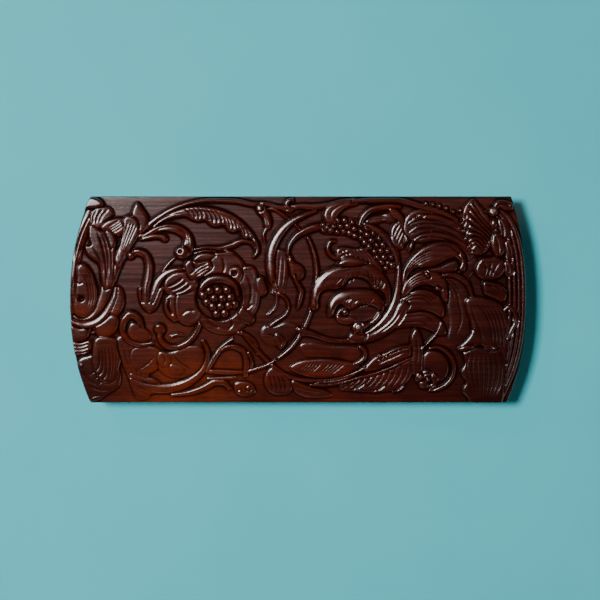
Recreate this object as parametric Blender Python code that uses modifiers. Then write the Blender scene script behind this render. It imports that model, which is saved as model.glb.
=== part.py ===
"""Hand bellows with a carved lid, lying flat and closed.

The lid turns on two butt hinges at the head block, which the base carries with the nozzle. A pleated leather
closes the sides and the grip end, and two bent hoops keep its pleats out. A leather-faced flap over the hole
in the base lets air in. X runs from the nozzle to the grip, Y across the boards, Z up; lengths are in metres.
"""

import math

import bmesh
import bpy
from mathutils import Matrix, Vector

MM = 0.001

# Boards, in plan
LENGTH = 400 * MM
WIDTH = 181.5 * MM
END_BOW = {"left": 17.2 * MM, "right_front": 16.6 * MM, "right_rear": 12.9 * MM}
BOW_POWER = 2.3  # the bowed ends are a little flatter in the middle than an arc
BASE_INSET = 1.5 * MM  # the base is this much smaller than the lid all round
OVERHANG = 4.75 * MM  # boards beyond the leather's line, along the sides
GRIP_OVERHANG = 30 * MM  # boards beyond the leather's line, at the grip end
CHAMBER_CORNER = 22 * MM

# Boards, in height
BASE_EDGE = 7 * MM
STEP = 6 * MM  # the raised middle of each board, which the leather is nailed to
CHAMBER_GAP = 16 * MM
LID_EDGE = 9 * MM
LID_CROWN = 5 * MM  # how much the lid is thicker along its middle than at its long edges

BASE_TOP = BASE_EDGE + STEP
LID_STEP_LOW = BASE_TOP + CHAMBER_GAP
LID_LOW = LID_STEP_LOW + STEP
LID_HIGH = LID_LOW + LID_EDGE + LID_CROWN

# Head block, nozzle and hinges
BLOCK_FACE_X = -175 * MM
BLOCK_DEPTH = 26 * MM
BLOCK_BACK_X = BLOCK_FACE_X + BLOCK_DEPTH
GUSSET = 1.3 * MM
CLEAR = 0.15 * MM  # half of the 0.3 mm gap that touching pieces keep
BLOCK_TOP = LID_LOW - GUSSET - 2 * CLEAR
NOZZLE_Z = 18.5 * MM
NOZZLE_BORE = 3.75 * MM
NOZZLE_TIP_X = -196.5 * MM
NOZZLE_SEAT = 12 * MM  # how deep the nozzle sits in the block
HINGE_Y = 44 * MM
HINGE_WIDTH = 24 * MM
LEAF = 1.1 * MM
LEAF_LENGTH = 11 * MM
LEAF_SCREW = 8.5 * MM  # from the hinge's axis to the screws in each leaf
KNUCKLE = 2.6 * MM
KNUCKLE_HALF = 3.8 * MM  # half the length of the middle knuckle
PIN = 0.95 * MM
AXIS_X = BLOCK_FACE_X - KNUCKLE - 2 * CLEAR
AXIS_Z = LID_LOW - KNUCKLE - 2 * CLEAR

# Leather
HALF_CHAMBER = WIDTH / 2 - OVERHANG
CHAMBER_END_X = LENGTH / 2 - GRIP_OVERHANG
SKIN = 0.8 * MM
PLEAT_NEAR = 3 * MM
PLEAT_FAR = 20 * MM
WING_X = -172.5 * MM  # where the leather ends, on the sides of the head block
HOOP = 2.8 * MM
HOOP_WIDTH = 3.5 * MM
HOOP_LOWS = {"hoop_lower": 16.6 * MM, "hoop_upper": 22.6 * MM}
BINDING = 1.2 * MM
BINDING_HEIGHT = 5 * MM

# Intake valve
VALVE_X = 20 * MM
VALVE_HOLE = 13 * MM
VALVE_SIDE = 44 * MM
VALVE_PLATE = 2.4 * MM
VALVE_LEATHER = 1.2 * MM
TAIL = 12 * MM
STRAP_HALF_SPAN = 46 * MM
STRAP_FOOT = 9 * MM
STRAP_RISE = 13.2 * MM
STRAP_WIDTH = 8 * MM

FINISHES = {
    "carved_wood": ((0.095, 0.026, 0.012), 0.28, 0.0),
    "plain_wood": ((0.115, 0.036, 0.016), 0.40, 0.0),
    "bent_wood": ((0.36, 0.20, 0.09), 0.60, 0.0),
    "leather": ((0.085, 0.032, 0.016), 0.62, 0.0),
    "pale_leather": ((0.42, 0.27, 0.15), 0.75, 0.0),
    "brass": ((0.62, 0.42, 0.16), 0.34, 1.0),
    "steel": ((0.28, 0.27, 0.26), 0.42, 1.0),
}


def clear_scene():
    for item in list(bpy.data.objects):
        bpy.data.objects.remove(item)


def new_collection(name):
    collection = bpy.data.collections.new(name)
    bpy.context.scene.collection.children.link(collection)
    return collection


def finish_of(name):
    """The material called name, made the first time that it is asked for."""
    material = bpy.data.materials.get(name)
    if material is None:
        colour, roughness, metallic = FINISHES[name]
        material = bpy.data.materials.new(name)
        material.use_nodes = True
        shader = material.node_tree.nodes["Principled BSDF"]
        shader.inputs["Base Color"].default_value = (*colour, 1.0)
        shader.inputs["Roughness"].default_value = roughness
        shader.inputs["Metallic"].default_value = metallic
        material.diffuse_color = (*colour, 1.0)
    return material


clear_scene()
PARTS = new_collection("hand_bellows")
CUTTERS = new_collection("cutters")
CUTTERS.hide_render = True


def empty_at(name, location):
    """An empty on a joint's axis, which a body's pieces are parented to."""
    empty = bpy.data.objects.new(name, None)
    empty.location = location
    empty.empty_display_size = 10 * MM
    PARTS.objects.link(empty)
    return empty


def mesh_object(name, form, location=(0, 0, 0)):
    """An object from a bmesh, which is freed. It joins a collection in as_part or as_cutter."""
    mesh = bpy.data.meshes.new(name)
    bmesh.ops.recalc_face_normals(form, faces=form.faces)
    form.to_mesh(mesh)
    form.free()
    item = bpy.data.objects.new(name, mesh)
    item.location = location
    return item


def as_part(item, finish, parent, round_shape=False):
    """Puts a finished piece in the bellows, parented to its body's empty without moving it."""
    item.data.materials.clear()
    item.data.materials.append(finish_of(finish))
    PARTS.objects.link(item)
    item.parent = parent
    item.location = Vector(item.location) - Vector(parent.location)
    if round_shape:
        item.data.shade_smooth()
        item.data.set_sharp_from_angle(angle=math.radians(35))
    return item


def as_cutter(item):
    item.display_type = "WIRE"
    item.hide_render = True
    CUTTERS.objects.link(item)
    return item


def boolean(item, other, operation="DIFFERENCE"):
    """Cuts item with other, or joins or crosses them, in a Boolean that stays on item."""
    step = item.modifiers.new(f"{operation.lower()} {other.name}", "BOOLEAN")
    step.operation = operation
    step.solver = "EXACT"
    step.object = other


def soften(item, width, segments=2):
    """Rounds the sharp edges of item."""
    step = item.modifiers.new("soften", "BEVEL")
    step.width = width
    step.segments = segments
    step.limit_method = "ANGLE"
    step.angle_limit = math.radians(50)
    step.harden_normals = False


def box(name, low, high):
    """A box between two corners, with its origin at its middle."""
    low, high = Vector(low), Vector(high)
    form = bmesh.new()
    bmesh.ops.create_cube(form, size=1.0)
    bmesh.ops.scale(form, vec=high - low, verts=form.verts)
    return mesh_object(name, form, (low + high) / 2)


def rod(name, start, end, radius, sides=24):
    """A round bar between two points, with its origin at its middle."""
    start, end = Vector(start), Vector(end)
    form = bmesh.new()
    turn = (end - start).to_track_quat("Z", "Y").to_matrix().to_4x4()
    length = (end - start).length
    bmesh.ops.create_cone(
        form, cap_ends=True, segments=sides, radius1=radius, radius2=radius, depth=length, matrix=turn
    )
    return mesh_object(name, form, (start + end) / 2)


def prism(name, outline, low, high):
    """A flat outline, a list of (x, y), made solid from z = low to z = high."""
    curve = bpy.data.curves.new(name, "CURVE")
    curve.dimensions = "2D"
    curve.fill_mode = "BOTH"
    curve.extrude = (high - low) / 2
    spline = curve.splines.new("POLY")
    spline.points.add(len(outline) - 1)
    for point, (x, y) in zip(spline.points, outline):
        point.co = (x, y, 0, 1)
    spline.use_cyclic_u = True
    drawn = bpy.data.objects.new(name, curve)
    bpy.context.scene.collection.objects.link(drawn)
    depsgraph = bpy.context.evaluated_depsgraph_get()
    mesh = bpy.data.meshes.new_from_object(drawn.evaluated_get(depsgraph))
    bpy.data.objects.remove(drawn)
    form = bmesh.new()
    form.from_mesh(mesh)
    bmesh.ops.remove_doubles(form, verts=form.verts, dist=0.001 * MM)
    bpy.data.meshes.remove(mesh)
    return mesh_object(name, form, (0, 0, (low + high) / 2))


def turned(name, profile, origin, direction, sides=28):
    """A turned piece. The profile is (radius, distance along the axis) from one end to the other."""
    mesh = bpy.data.meshes.new(name)
    points = [(radius, 0, along) for radius, along in profile]
    mesh.from_pydata(points, [(i, i + 1) for i in range(len(points) - 1)], [])
    item = bpy.data.objects.new(name, mesh)
    item.location = origin
    item.rotation_mode = "QUATERNION"
    item.rotation_quaternion = Vector(direction).to_track_quat("Z", "Y")
    step = item.modifiers.new("turn", "SCREW")
    step.axis = "Z"
    step.angle = math.tau
    step.steps = sides
    step.render_steps = sides
    step.use_merge_vertices = True
    step.merge_threshold = 0.001 * MM
    return item


def arc(centre, radius, start, end, steps):
    """Points on an arc from start to end, in degrees, with both ends."""
    angles = (math.radians(start + (end - start) * i / steps) for i in range(steps + 1))
    return [(centre[0] + radius * math.cos(a), centre[1] + radius * math.sin(a)) for a in angles]


def bow(side, y):
    """How far a board's end has drawn back from its furthest point, at this y."""
    if side == "left":
        depth = END_BOW["left"]
    elif y < 0:
        depth = END_BOW["right_front"]
    else:
        depth = END_BOW["right_rear"]
    return depth * abs(2 * y / WIDTH) ** BOW_POWER


def board_outline(inset=0.0, steps=28):
    """A board in plan: straight long edges, and ends that bow outwards."""
    half = WIDTH / 2 - inset
    heights = [half * math.sin(math.pi * (i / steps - 0.5)) for i in range(steps + 1)]
    right = [(LENGTH / 2 - inset - bow("right", y), y) for y in heights]
    left = [(-LENGTH / 2 + inset + bow("left", y), y) for y in reversed(heights)]
    return right + left


def chamber_path(outward=0.0, start_x=BLOCK_BACK_X, steps=8):
    """The leather's line in plan, moved outwards: from start_x along the front, round the grip end and back."""
    half = HALF_CHAMBER + outward
    corner_x = CHAMBER_END_X - CHAMBER_CORNER
    corner_y = HALF_CHAMBER - CHAMBER_CORNER
    radius = CHAMBER_CORNER + outward
    front = arc((corner_x, -corner_y), radius, -90, 0, steps)
    rear = arc((corner_x, corner_y), radius, 0, 90, steps)
    return [(start_x, -half), *front, *rear, (start_x, half)]


def band(name, inner, outer, start_x, low, high):
    """A strip bent along the leather's line, between two distances outwards from it."""
    outline = chamber_path(outer, start_x) + chamber_path(inner, start_x)[::-1]
    return prism(name, outline, low, high)


# Base, lid and head block


def make_base_board(parent):
    base = prism("base_board", board_outline(BASE_INSET), 0, BASE_EDGE)
    soften(base, 1.6 * MM)
    middle = prism("base_middle", chamber_path(start_x=BLOCK_BACK_X + 2 * CLEAR), BASE_EDGE / 2, BASE_TOP)
    boolean(base, as_cutter(middle), "UNION")
    hole = rod("intake_cutter", (VALVE_X, 0, -STEP), (VALVE_X, 0, BASE_TOP + STEP), VALVE_HOLE, 40)
    boolean(base, as_cutter(hole))
    return as_part(base, "plain_wood", parent)


def crown_prism():
    """A long bar whose upper face is the lid's crowned surface across the width."""
    half = WIDTH / 2 + 5 * MM
    steps = 20
    ys = [half - 2 * half * i / steps for i in range(steps + 1)]
    crowned = [(y, LID_LOW + LID_EDGE + LID_CROWN * (1 - (2 * y / WIDTH) ** 2)) for y in ys]
    outline = [(-half, LID_LOW), (half, LID_LOW), *crowned]
    bar = prism("lid_crown", outline, -LENGTH, LENGTH)
    bar.data.transform(Matrix(((0, 0, 1, 0), (1, 0, 0, 0), (0, 1, 0, 0), (0, 0, 0, 1))))
    return bar


def make_top_board(parent):
    """The lid's blank, up to the highest points of its carving, with the raised middle below it."""
    lid = prism("top_board", board_outline(), LID_LOW - LID_EDGE, LID_HIGH + LID_EDGE)
    boolean(lid, as_cutter(crown_prism()), "INTERSECT")
    soften(lid, 1.2 * MM)
    middle = prism(
        "lid_middle", chamber_path(start_x=BLOCK_BACK_X + 2 * CLEAR), LID_STEP_LOW, LID_LOW + LID_EDGE / 2
    )
    boolean(lid, as_cutter(middle), "UNION")
    return as_part(lid, "carved_wood", parent)


def make_head_block(parent):
    side = HALF_CHAMBER - 2 * CLEAR
    block = box(
        "head_block", (BLOCK_FACE_X, -side, BASE_EDGE + 2 * CLEAR), (BLOCK_BACK_X, side, BLOCK_TOP)
    )
    soften(block, 0.8 * MM)
    bore = rod("bore_cutter", (-LENGTH / 2, 0, NOZZLE_Z), (0, 0, NOZZLE_Z), NOZZLE_BORE + 0.25 * MM, 28)
    seat_end = BLOCK_FACE_X + NOZZLE_SEAT
    seat = rod("seat_cutter", (-LENGTH / 2, 0, NOZZLE_Z), (seat_end, 0, NOZZLE_Z), 5.8 * MM, 28)
    boolean(block, as_cutter(bore))
    boolean(block, as_cutter(seat))
    return as_part(block, "plain_wood", parent)


# Nozzle


def make_nozzle(parent):
    """The turned brass tube, and the collar that covers its seat in the block."""
    seat_end = NOZZLE_SEAT - 2 * CLEAR
    reach = BLOCK_FACE_X - NOZZLE_TIP_X
    profile = [
        (NOZZLE_BORE, seat_end),
        (5.5 * MM, seat_end),
        (5.5 * MM, -3.8 * MM),
        (5.1 * MM, -8 * MM),
        (4.8 * MM, -reach + 3.2 * MM),
        (5.3 * MM, -reach + 2.4 * MM),
        (5.5 * MM, -reach + 1.5 * MM),
        (5.3 * MM, -reach + 0.6 * MM),
        (4.7 * MM, -reach),
        (NOZZLE_BORE, -reach),
        (NOZZLE_BORE, seat_end),
    ]
    tube = turned("nozzle_tube", profile, (BLOCK_FACE_X, 0, NOZZLE_Z), (1, 0, 0))
    as_part(tube, "brass", parent, round_shape=True)
    inside = 5.5 * MM + 2 * CLEAR
    front = -2 * CLEAR
    ring = [
        (inside, front),
        (9.2 * MM, front),
        (9.4 * MM, front - 1.0 * MM),
        (8.6 * MM, front - 1.8 * MM),
        (7.4 * MM, front - 2.2 * MM),
        (6.8 * MM, front - 3.2 * MM),
        (inside, front - 3.4 * MM),
        (inside, front),
    ]
    collar = turned("nozzle_collar", ring, (BLOCK_FACE_X, 0, NOZZLE_Z), (1, 0, 0))
    as_part(collar, "brass", parent, round_shape=True)


# Hinges


def knuckle(name, y_low, y_high):
    return as_cutter(rod(name, (AXIS_X, y_low, AXIS_Z), (AXIS_X, y_high, AXIS_Z), KNUCKLE, 20))


def pin_hole(side, y):
    half = HINGE_WIDTH
    start, end = (AXIS_X, y - half, AXIS_Z), (AXIS_X, y + half, AXIS_Z)
    return as_cutter(rod(f"pin_hole_{side}", start, end, PIN + 2 * CLEAR, 16))


def make_hinge(side, y, base, lid):
    """One butt hinge in the angle of the head block's face and the lid: two leaves and the pin."""
    half = HINGE_WIDTH / 2
    inner = KNUCKLE_HALF + 2 * CLEAR
    hole = pin_hole(side, y)

    back = BLOCK_FACE_X - 2 * CLEAR
    shoulder = AXIS_Z - KNUCKLE - 2 * CLEAR
    fixed = box(
        f"hinge_leaf_block_{side}",
        (back - LEAF, y - half, shoulder - LEAF_LENGTH),
        (back, y + half, shoulder),
    )
    for end, low, high in (("a", y - half, y - inner), ("b", y + inner, y + half)):
        neck = box(f"neck_block_{side}_{end}", (back - LEAF, low, shoulder - LEAF), (back, high, AXIS_Z))
        boolean(fixed, as_cutter(neck), "UNION")
        boolean(fixed, knuckle(f"knuckle_block_{side}_{end}", low, high), "UNION")
    boolean(fixed, hole)

    top = LID_LOW - 2 * CLEAR
    shoulder = AXIS_X - KNUCKLE - 2 * CLEAR
    swung = box(
        f"hinge_leaf_lid_{side}",
        (shoulder - LEAF_LENGTH, y - half, top - LEAF),
        (shoulder, y + half, top),
    )
    low, high = y - KNUCKLE_HALF, y + KNUCKLE_HALF
    neck = box(f"neck_lid_{side}", (shoulder - LEAF, low, top - LEAF), (AXIS_X, high, top))
    boolean(swung, as_cutter(neck), "UNION")
    boolean(swung, knuckle(f"knuckle_lid_{side}", low, high), "UNION")
    boolean(swung, hole)

    start, end = (AXIS_X, y - half, AXIS_Z), (AXIS_X, y + half, AXIS_Z)
    pin = rod(f"hinge_pin_{side}", start, end, PIN, 14)
    as_part(pin, "steel", base, round_shape=True)
    return as_part(fixed, "brass", base), as_part(swung, "brass", lid)


# Screws and tacks


def domed_screw(name, point, inwards, length, head, shank, parent, finish="brass"):
    """A slotted domed screw. Its head stands on point, and its shank goes from there inwards."""
    rise = head * 0.62
    profile = [
        (0, length),
        (shank, length - 1.4 * shank),
        (shank, 0),
        (head, 0),
        (head * 0.92, -rise * 0.5),
        (head * 0.6, -rise * 0.87),
        (0, -rise),
    ]
    screw = turned(name, profile, point, inwards, 18)
    slot = box(
        f"slot_{name}",
        (-head * 1.2, -head * 0.13, -rise * 1.2),
        (head * 1.2, head * 0.13, -rise * 0.45),
    )
    slot.location = Vector(point) + Vector(inwards) * slot.location.z
    slot.rotation_mode = "QUATERNION"
    slot.rotation_quaternion = Vector(inwards).to_track_quat("Z", "Y")
    boolean(screw, as_cutter(slot))
    return as_part(screw, finish, parent, round_shape=True)


def drill(pieces, name, point, inwards, depth, radius):
    """A screw's hole, through every piece that it passes."""
    inwards = Vector(inwards)
    start = Vector(point) - inwards * 2 * MM
    hole = as_cutter(rod(f"hole_{name}", start, start + inwards * (depth + 2 * MM), radius, 16))
    for piece in pieces:
        boolean(piece, hole)


def make_hinge_screws(side, y, fixed, swung, block, lid_board, base, lid):
    """Two screws in each leaf, through its leaf and into the wood."""
    shank, head = 1.0 * MM, 2.3 * MM
    for number, across in ((1, -7.5 * MM), (2, 7.5 * MM)):
        face = BLOCK_FACE_X - LEAF - 4 * CLEAR
        point = (face, y + across, AXIS_Z - LEAF_SCREW)
        name = f"screw_block_{side}_{number}"
        drill([fixed, block], name, point, (1, 0, 0), 9.5 * MM, shank + 2 * CLEAR)
        domed_screw(name, point, (1, 0, 0), 9 * MM, head, shank, base)

        face = LID_LOW - LEAF - 4 * CLEAR
        point = (AXIS_X - LEAF_SCREW, y + across, face)
        name = f"screw_lid_{side}_{number}"
        drill([swung, lid_board], name, point, (0, 0, 1), 6.1 * MM, shank + 2 * CLEAR)
        domed_screw(name, point, (0, 0, 1), 5.6 * MM, head, shank, lid)


def make_block_screws(base_board, block, parent):
    """Four countersunk screws from below, which hold the head block on the base."""
    head, shank, length = 3.6 * MM, 1.7 * MM, 24 * MM
    x = BLOCK_FACE_X + 15 * MM
    for number, y in enumerate((-66 * MM, -24 * MM, 24 * MM, 66 * MM), start=1):
        name = f"screw_head_block_{number}"
        sunk = [(0, length), (shank, length - 3 * MM), (shank, 3 * MM), (head, 0.5 * MM), (0, 0.5 * MM)]
        screw = turned(name, sunk, (x, y, 0), (0, 0, 1), 20)
        slot = box(f"slot_{name}", (x - head, y - 0.5 * MM, -MM), (x + head, y + 0.5 * MM, 1.2 * MM))
        boolean(screw, as_cutter(slot))
        as_part(screw, "steel", parent, round_shape=True)
        gap = 2 * CLEAR
        hole = [
            (0, length + gap),
            (shank + gap, length + gap),
            (shank + gap, 3.4 * MM),
            (head + gap, 0.7 * MM),
            (head + gap, -MM),
            (0, -MM),
        ]
        cutter = as_cutter(turned(f"sink_{name}", hole, (x, y, 0), (0, 0, 1), 20))
        boolean(base_board, cutter)
        boolean(block, cutter)


# Leather, its hoops and its bindings


def pleat_section(depth):
    """The leather's section as (outwards, height): in and out between the two boards and round both hoops."""
    inner, outer = CLEAR, CLEAR + SKIN
    fold_in, fold_out = -depth, -depth + SKIN
    folds = [BASE_TOP + CLEAR]
    for low in HOOP_LOWS.values():
        folds += [low - CLEAR - SKIN, low + HOOP + CLEAR]
    folds.append(LID_STEP_LOW - CLEAR - SKIN)
    outside = [(outer, BASE_EDGE + 0.4 * MM)]
    inside = [(inner, BASE_EDGE + 0.4 * MM)]
    for below, above in zip(folds[0::2], folds[1::2]):
        outside += [(outer, below + SKIN), (fold_out, below + SKIN), (fold_out, above), (outer, above)]
        inside += [(inner, below), (fold_in, below), (fold_in, above + SKIN), (inner, above + SKIN)]
    outside.append((outer, LID_LOW - 0.4 * MM))
    inside.append((inner, LID_LOW - 0.4 * MM))
    return outside + inside[::-1]


def pleat_depth(x):
    """The pleats deepen evenly from the head block to the grip end, and are flat beside the block."""
    if x < BLOCK_BACK_X:
        return 0.0
    share = (x - BLOCK_BACK_X) / (CHAMBER_END_X - BLOCK_BACK_X)
    return PLEAT_NEAR + (PLEAT_FAR - PLEAT_NEAR) * share


def leather_line():
    """Points in plan along the leather, with the outward direction at each."""
    on_line = chamber_path(0.0, WING_X)
    outside = chamber_path(1.0, WING_X)
    stations = [(Vector(a), Vector(b) - Vector(a)) for a, b in zip(on_line, outside)]
    front, rear = stations[0][1], stations[-1][1]
    beside_block, behind_block = BLOCK_BACK_X - 0.2 * MM, BLOCK_BACK_X + 2.5 * MM
    first = [(Vector((x, -HALF_CHAMBER)), front) for x in (beside_block, behind_block)]
    last = [(Vector((x, HALF_CHAMBER)), rear) for x in (behind_block, beside_block)]
    return [stations[0], *first, *stations[1:-1], *last, stations[-1]]


def make_leather(parent):
    """The pleated side leather. Its pleat depth changes along its length, so it is a loft."""
    form = bmesh.new()
    rings = []
    for point, outward in leather_line():
        places = ((point + outward * out, height) for out, height in pleat_section(pleat_depth(point.x)))
        rings.append([form.verts.new((place.x, place.y, height)) for place, height in places])
    for ring, following in zip(rings, rings[1:]):
        for i in range(len(ring)):
            j = (i + 1) % len(ring)
            form.faces.new((ring[i], ring[j], following[j], following[i]))
    form.faces.new(rings[0])
    form.faces.new(rings[-1])
    return as_part(mesh_object("bellows_leather", form), "leather", parent)


def make_hinge_gusset(parent):
    """The leather that seals the joint between the head block and the lid."""
    side = HALF_CHAMBER - 2 * MM
    gusset = box(
        "hinge_gusset",
        (BLOCK_FACE_X + 2 * MM, -side, BLOCK_TOP + CLEAR),
        (BLOCK_BACK_X - 0.5 * MM, side, BLOCK_TOP + CLEAR + GUSSET),
    )
    return as_part(gusset, "leather", parent)


def make_hoops(parents):
    inner, outer = -CLEAR - HOOP_WIDTH, -CLEAR
    for name, low in HOOP_LOWS.items():
        hoop = band(name, inner, outer, BLOCK_BACK_X + 0.5 * MM, low, low + HOOP)
        as_part(hoop, "bent_wood", parents[name])


def make_bindings(base, lid):
    """The strips that the leather's edges are nailed under."""
    inner = 2 * CLEAR + SKIN
    low = BASE_EDGE + 0.5 * MM
    lower = band("lower_binding", inner, inner + BINDING, WING_X, low, low + BINDING_HEIGHT)
    as_part(lower, "leather", base)
    low = LID_LOW - 0.5 * MM - BINDING_HEIGHT
    start = BLOCK_BACK_X + 2 * CLEAR
    upper = band("upper_binding", inner, inner + BINDING, start, low, low + BINDING_HEIGHT)
    as_part(upper, "leather", lid)


# Intake valve


def make_valve(base, flap, base_board):
    """The flap over the intake hole, its fixed leather tail and batten, and the strap that limits it."""
    half = VALVE_SIDE / 2
    hinge_x = VALVE_X - half
    low = BASE_TOP + CLEAR
    face_top = low + VALVE_LEATHER
    facing = box(
        "valve_facing", (hinge_x + CLEAR, -half, low), (VALVE_X + half, half, face_top)
    )
    as_part(facing, "pale_leather", flap)
    rim = 2.5 * MM
    plate_low = face_top + CLEAR
    plate = box(
        "valve_plate",
        (hinge_x + rim, -half + rim, plate_low),
        (VALVE_X + half - rim, half - rim, plate_low + VALVE_PLATE),
    )
    soften(plate, 0.5 * MM)
    as_part(plate, "bent_wood", flap)

    tail = box("valve_tail", (hinge_x - TAIL, -half, low), (hinge_x - CLEAR, half, face_top))
    batten_low = face_top + CLEAR
    batten_high = batten_low + VALVE_PLATE
    batten = box(
        "valve_batten",
        (hinge_x - TAIL + 1.5 * MM, -half + rim, batten_low),
        (hinge_x - 3 * MM, half - rim, batten_high),
    )
    soften(batten, 0.5 * MM)
    for number, y in ((1, -14 * MM), (2, 14 * MM)):
        point = (hinge_x - TAIL / 2 - 0.75 * MM, y, batten_high + CLEAR)
        name = f"batten_tack_{number}"
        drill([batten, tail, base_board], name, point, (0, 0, -1), 9 * MM, 1.1 * MM)
        make_tack(name, point, 8.5 * MM, base)
    as_part(tail, "pale_leather", base)
    as_part(batten, "bent_wood", base)
    make_strap(base, base_board)


def make_tack(name, point, length, parent):
    """A tack with a low domed head, driven straight down."""
    profile = [
        (0, length),
        (0.8 * MM, length - 2 * MM),
        (0.8 * MM, 0),
        (2.1 * MM, 0),
        (1.8 * MM, -0.6 * MM),
        (1.1 * MM, -1.0 * MM),
        (0, -1.15 * MM),
    ]
    return as_part(turned(name, profile, point, (0, 0, -1), 16), "brass", parent, round_shape=True)


def strap_line(lift):
    """The strap's section line as (y, z): a flat foot on each side and a slack arch between them."""
    steps = 16
    reach = STRAP_HALF_SPAN - STRAP_FOOT
    rise = [
        (reach * (2 * i / steps - 1), STRAP_RISE * (1 - (2 * i / steps - 1) ** 4)) for i in range(steps + 1)
    ]
    line = [(-STRAP_HALF_SPAN, 0), *rise, (STRAP_HALF_SPAN, 0)]
    return [(y, BASE_TOP + CLEAR + z + lift) for y, z in line]


def make_strap(base, base_board):
    x = VALVE_X + 8 * MM
    outline = strap_line(0.0) + strap_line(VALVE_LEATHER)[::-1]
    strap = prism("valve_strap", outline, -STRAP_WIDTH / 2, STRAP_WIDTH / 2)
    strap.data.transform(Matrix(((0, 0, 1, 0), (1, 0, 0, 0), (0, 1, 0, 0), (0, 0, 0, 1))))
    strap.location.x = x
    top = BASE_TOP + VALVE_LEATHER + 2 * CLEAR
    tack_y = STRAP_HALF_SPAN - STRAP_FOOT / 2
    for number, y in ((1, -tack_y), (2, tack_y)):
        point = (x, y, top)
        name = f"strap_tack_{number}"
        drill([strap, base_board], name, point, (0, 0, -1), 7 * MM, 1.1 * MM)
        make_tack(name, point, 6.5 * MM, base)
    as_part(strap, "pale_leather", base)


def build():
    axis = (AXIS_X, 0, AXIS_Z)
    base = empty_at("base_body", (0, 0, 0))
    lid = empty_at("lid_axis", axis)
    hoops = {name: empty_at(f"{name}_axis", axis) for name in HOOP_LOWS}
    flap_axis = (VALVE_X - VALVE_SIDE / 2, 0, BASE_TOP + CLEAR + VALVE_LEATHER / 2)
    flap = empty_at("valve_axis", flap_axis)

    base_board = make_base_board(base)
    lid_board = make_top_board(lid)
    block = make_head_block(base)
    make_nozzle(base)
    for side, y in (("front", -HINGE_Y), ("rear", HINGE_Y)):
        fixed, swung = make_hinge(side, y, base, lid)
        make_hinge_screws(side, y, fixed, swung, block, lid_board, base, lid)
    make_block_screws(base_board, block, base)
    make_leather(base)
    make_hinge_gusset(base)
    make_hoops(hoops)
    make_bindings(base, lid)
    make_valve(base, flap, base_board)


build()
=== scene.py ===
"""Hand bellows with a carved mahogany lid, lying flat and closed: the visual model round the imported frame.

The lid's carving is a height field made by the carve_ functions, one for each area of the pattern. The
leather, its bindings and nails and the valve's leathers are swept or laid out here. The boards, hoops,
hinges, nozzle and screws are the CAD's own, with new materials. Lengths are in millimetres until
mesh_piece makes them metres.
"""

import math

import bmesh
import bpy
import numpy as np
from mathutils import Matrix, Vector


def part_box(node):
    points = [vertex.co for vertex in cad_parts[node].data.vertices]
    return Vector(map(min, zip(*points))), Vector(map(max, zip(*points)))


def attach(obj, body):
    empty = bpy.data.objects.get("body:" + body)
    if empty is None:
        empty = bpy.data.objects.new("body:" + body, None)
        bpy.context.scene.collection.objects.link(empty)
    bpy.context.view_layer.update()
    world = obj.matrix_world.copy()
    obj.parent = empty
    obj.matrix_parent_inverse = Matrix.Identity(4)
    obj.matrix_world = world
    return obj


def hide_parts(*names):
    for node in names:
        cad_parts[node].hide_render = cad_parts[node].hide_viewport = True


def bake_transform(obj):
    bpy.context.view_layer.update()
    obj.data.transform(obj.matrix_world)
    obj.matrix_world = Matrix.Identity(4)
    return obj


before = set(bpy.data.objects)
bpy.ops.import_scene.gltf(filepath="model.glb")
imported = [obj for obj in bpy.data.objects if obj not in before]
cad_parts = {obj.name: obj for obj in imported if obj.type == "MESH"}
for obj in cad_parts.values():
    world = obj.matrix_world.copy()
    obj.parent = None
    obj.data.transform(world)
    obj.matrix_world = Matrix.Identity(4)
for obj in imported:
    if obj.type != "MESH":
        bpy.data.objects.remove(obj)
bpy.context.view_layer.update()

MM = 0.001

# The lid
LID_LOW_CORNER, LID_HIGH_CORNER = (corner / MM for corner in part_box("top_board"))
HALF_LENGTH = LID_HIGH_CORNER.x
HALF_WIDTH = LID_HIGH_CORNER.y
LID_TOP = LID_HIGH_CORNER.z
LID_STEP = LID_LOW_CORNER.z
LID_UNDER = LID_STEP + 6.0
CROWN = 5.0
LEFT_BOW, RIGHT_FRONT_BOW, RIGHT_REAR_BOW = 17.2, 16.6, 12.9
BOW_POWER = 2.3

# The leather's line round the chamber
SIDE_Y = 86.0
GRIP_END_X = 170.0
CORNER = 22.0
BLOCK_BACK_X = -149.0
WING_X = -172.5
EDGE_LOW, EDGE_HIGH = 7.4, 34.6
SKIN = 0.8

# --- The carving: a height field in millimetres on the lid, from its middle; X along it, Y across it ---

PITCH = 0.25
FIELD_X, FIELD_Y = 202.0, 92.0
DEEPEST, HIGHEST = -0.6, 4.7
EMPTY = -99.0  # a place in a patch that nothing covers
FINE_STEP, FINE_ACROSS = 0.2, 0.16  # how closely leaves and stems are sampled, finer than the grid
CUT_STEP, CUT_ACROSS = 0.18, 0.14  # the same for a gouge line
TRENCH = 0.12  # how deep the ground is cut away round each form
TRENCH_REACH, KNOB_TRENCH_REACH = 0.75, 0.6
RIM_FULLNESS = 0.38  # where a blurred outline starts to rise


def smooth_curve(points, share):
    """Places on a smooth curve through the points, at these shares (0 to 1) of its length."""
    p = np.array(points, float)
    gaps = np.linalg.norm(np.diff(p, axis=0), axis=1)
    t = np.concatenate(([0.0], np.cumsum(gaps)))
    slope = np.gradient(p, t, axis=0)
    u = np.clip(share, 0.0, 1.0) * t[-1]
    i = np.clip(np.searchsorted(t, u, side="right") - 1, 0, len(p) - 2)
    step = (t[i + 1] - t[i])[..., None]
    f = (u - t[i])[..., None] / step
    start = (2 * f**3 - 3 * f**2 + 1) * p[i] + (f**3 - 2 * f**2 + f) * step * slope[i]
    return start + (3 * f**2 - 2 * f**3) * p[i + 1] + (f**3 - f**2) * step * slope[i + 1]


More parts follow.
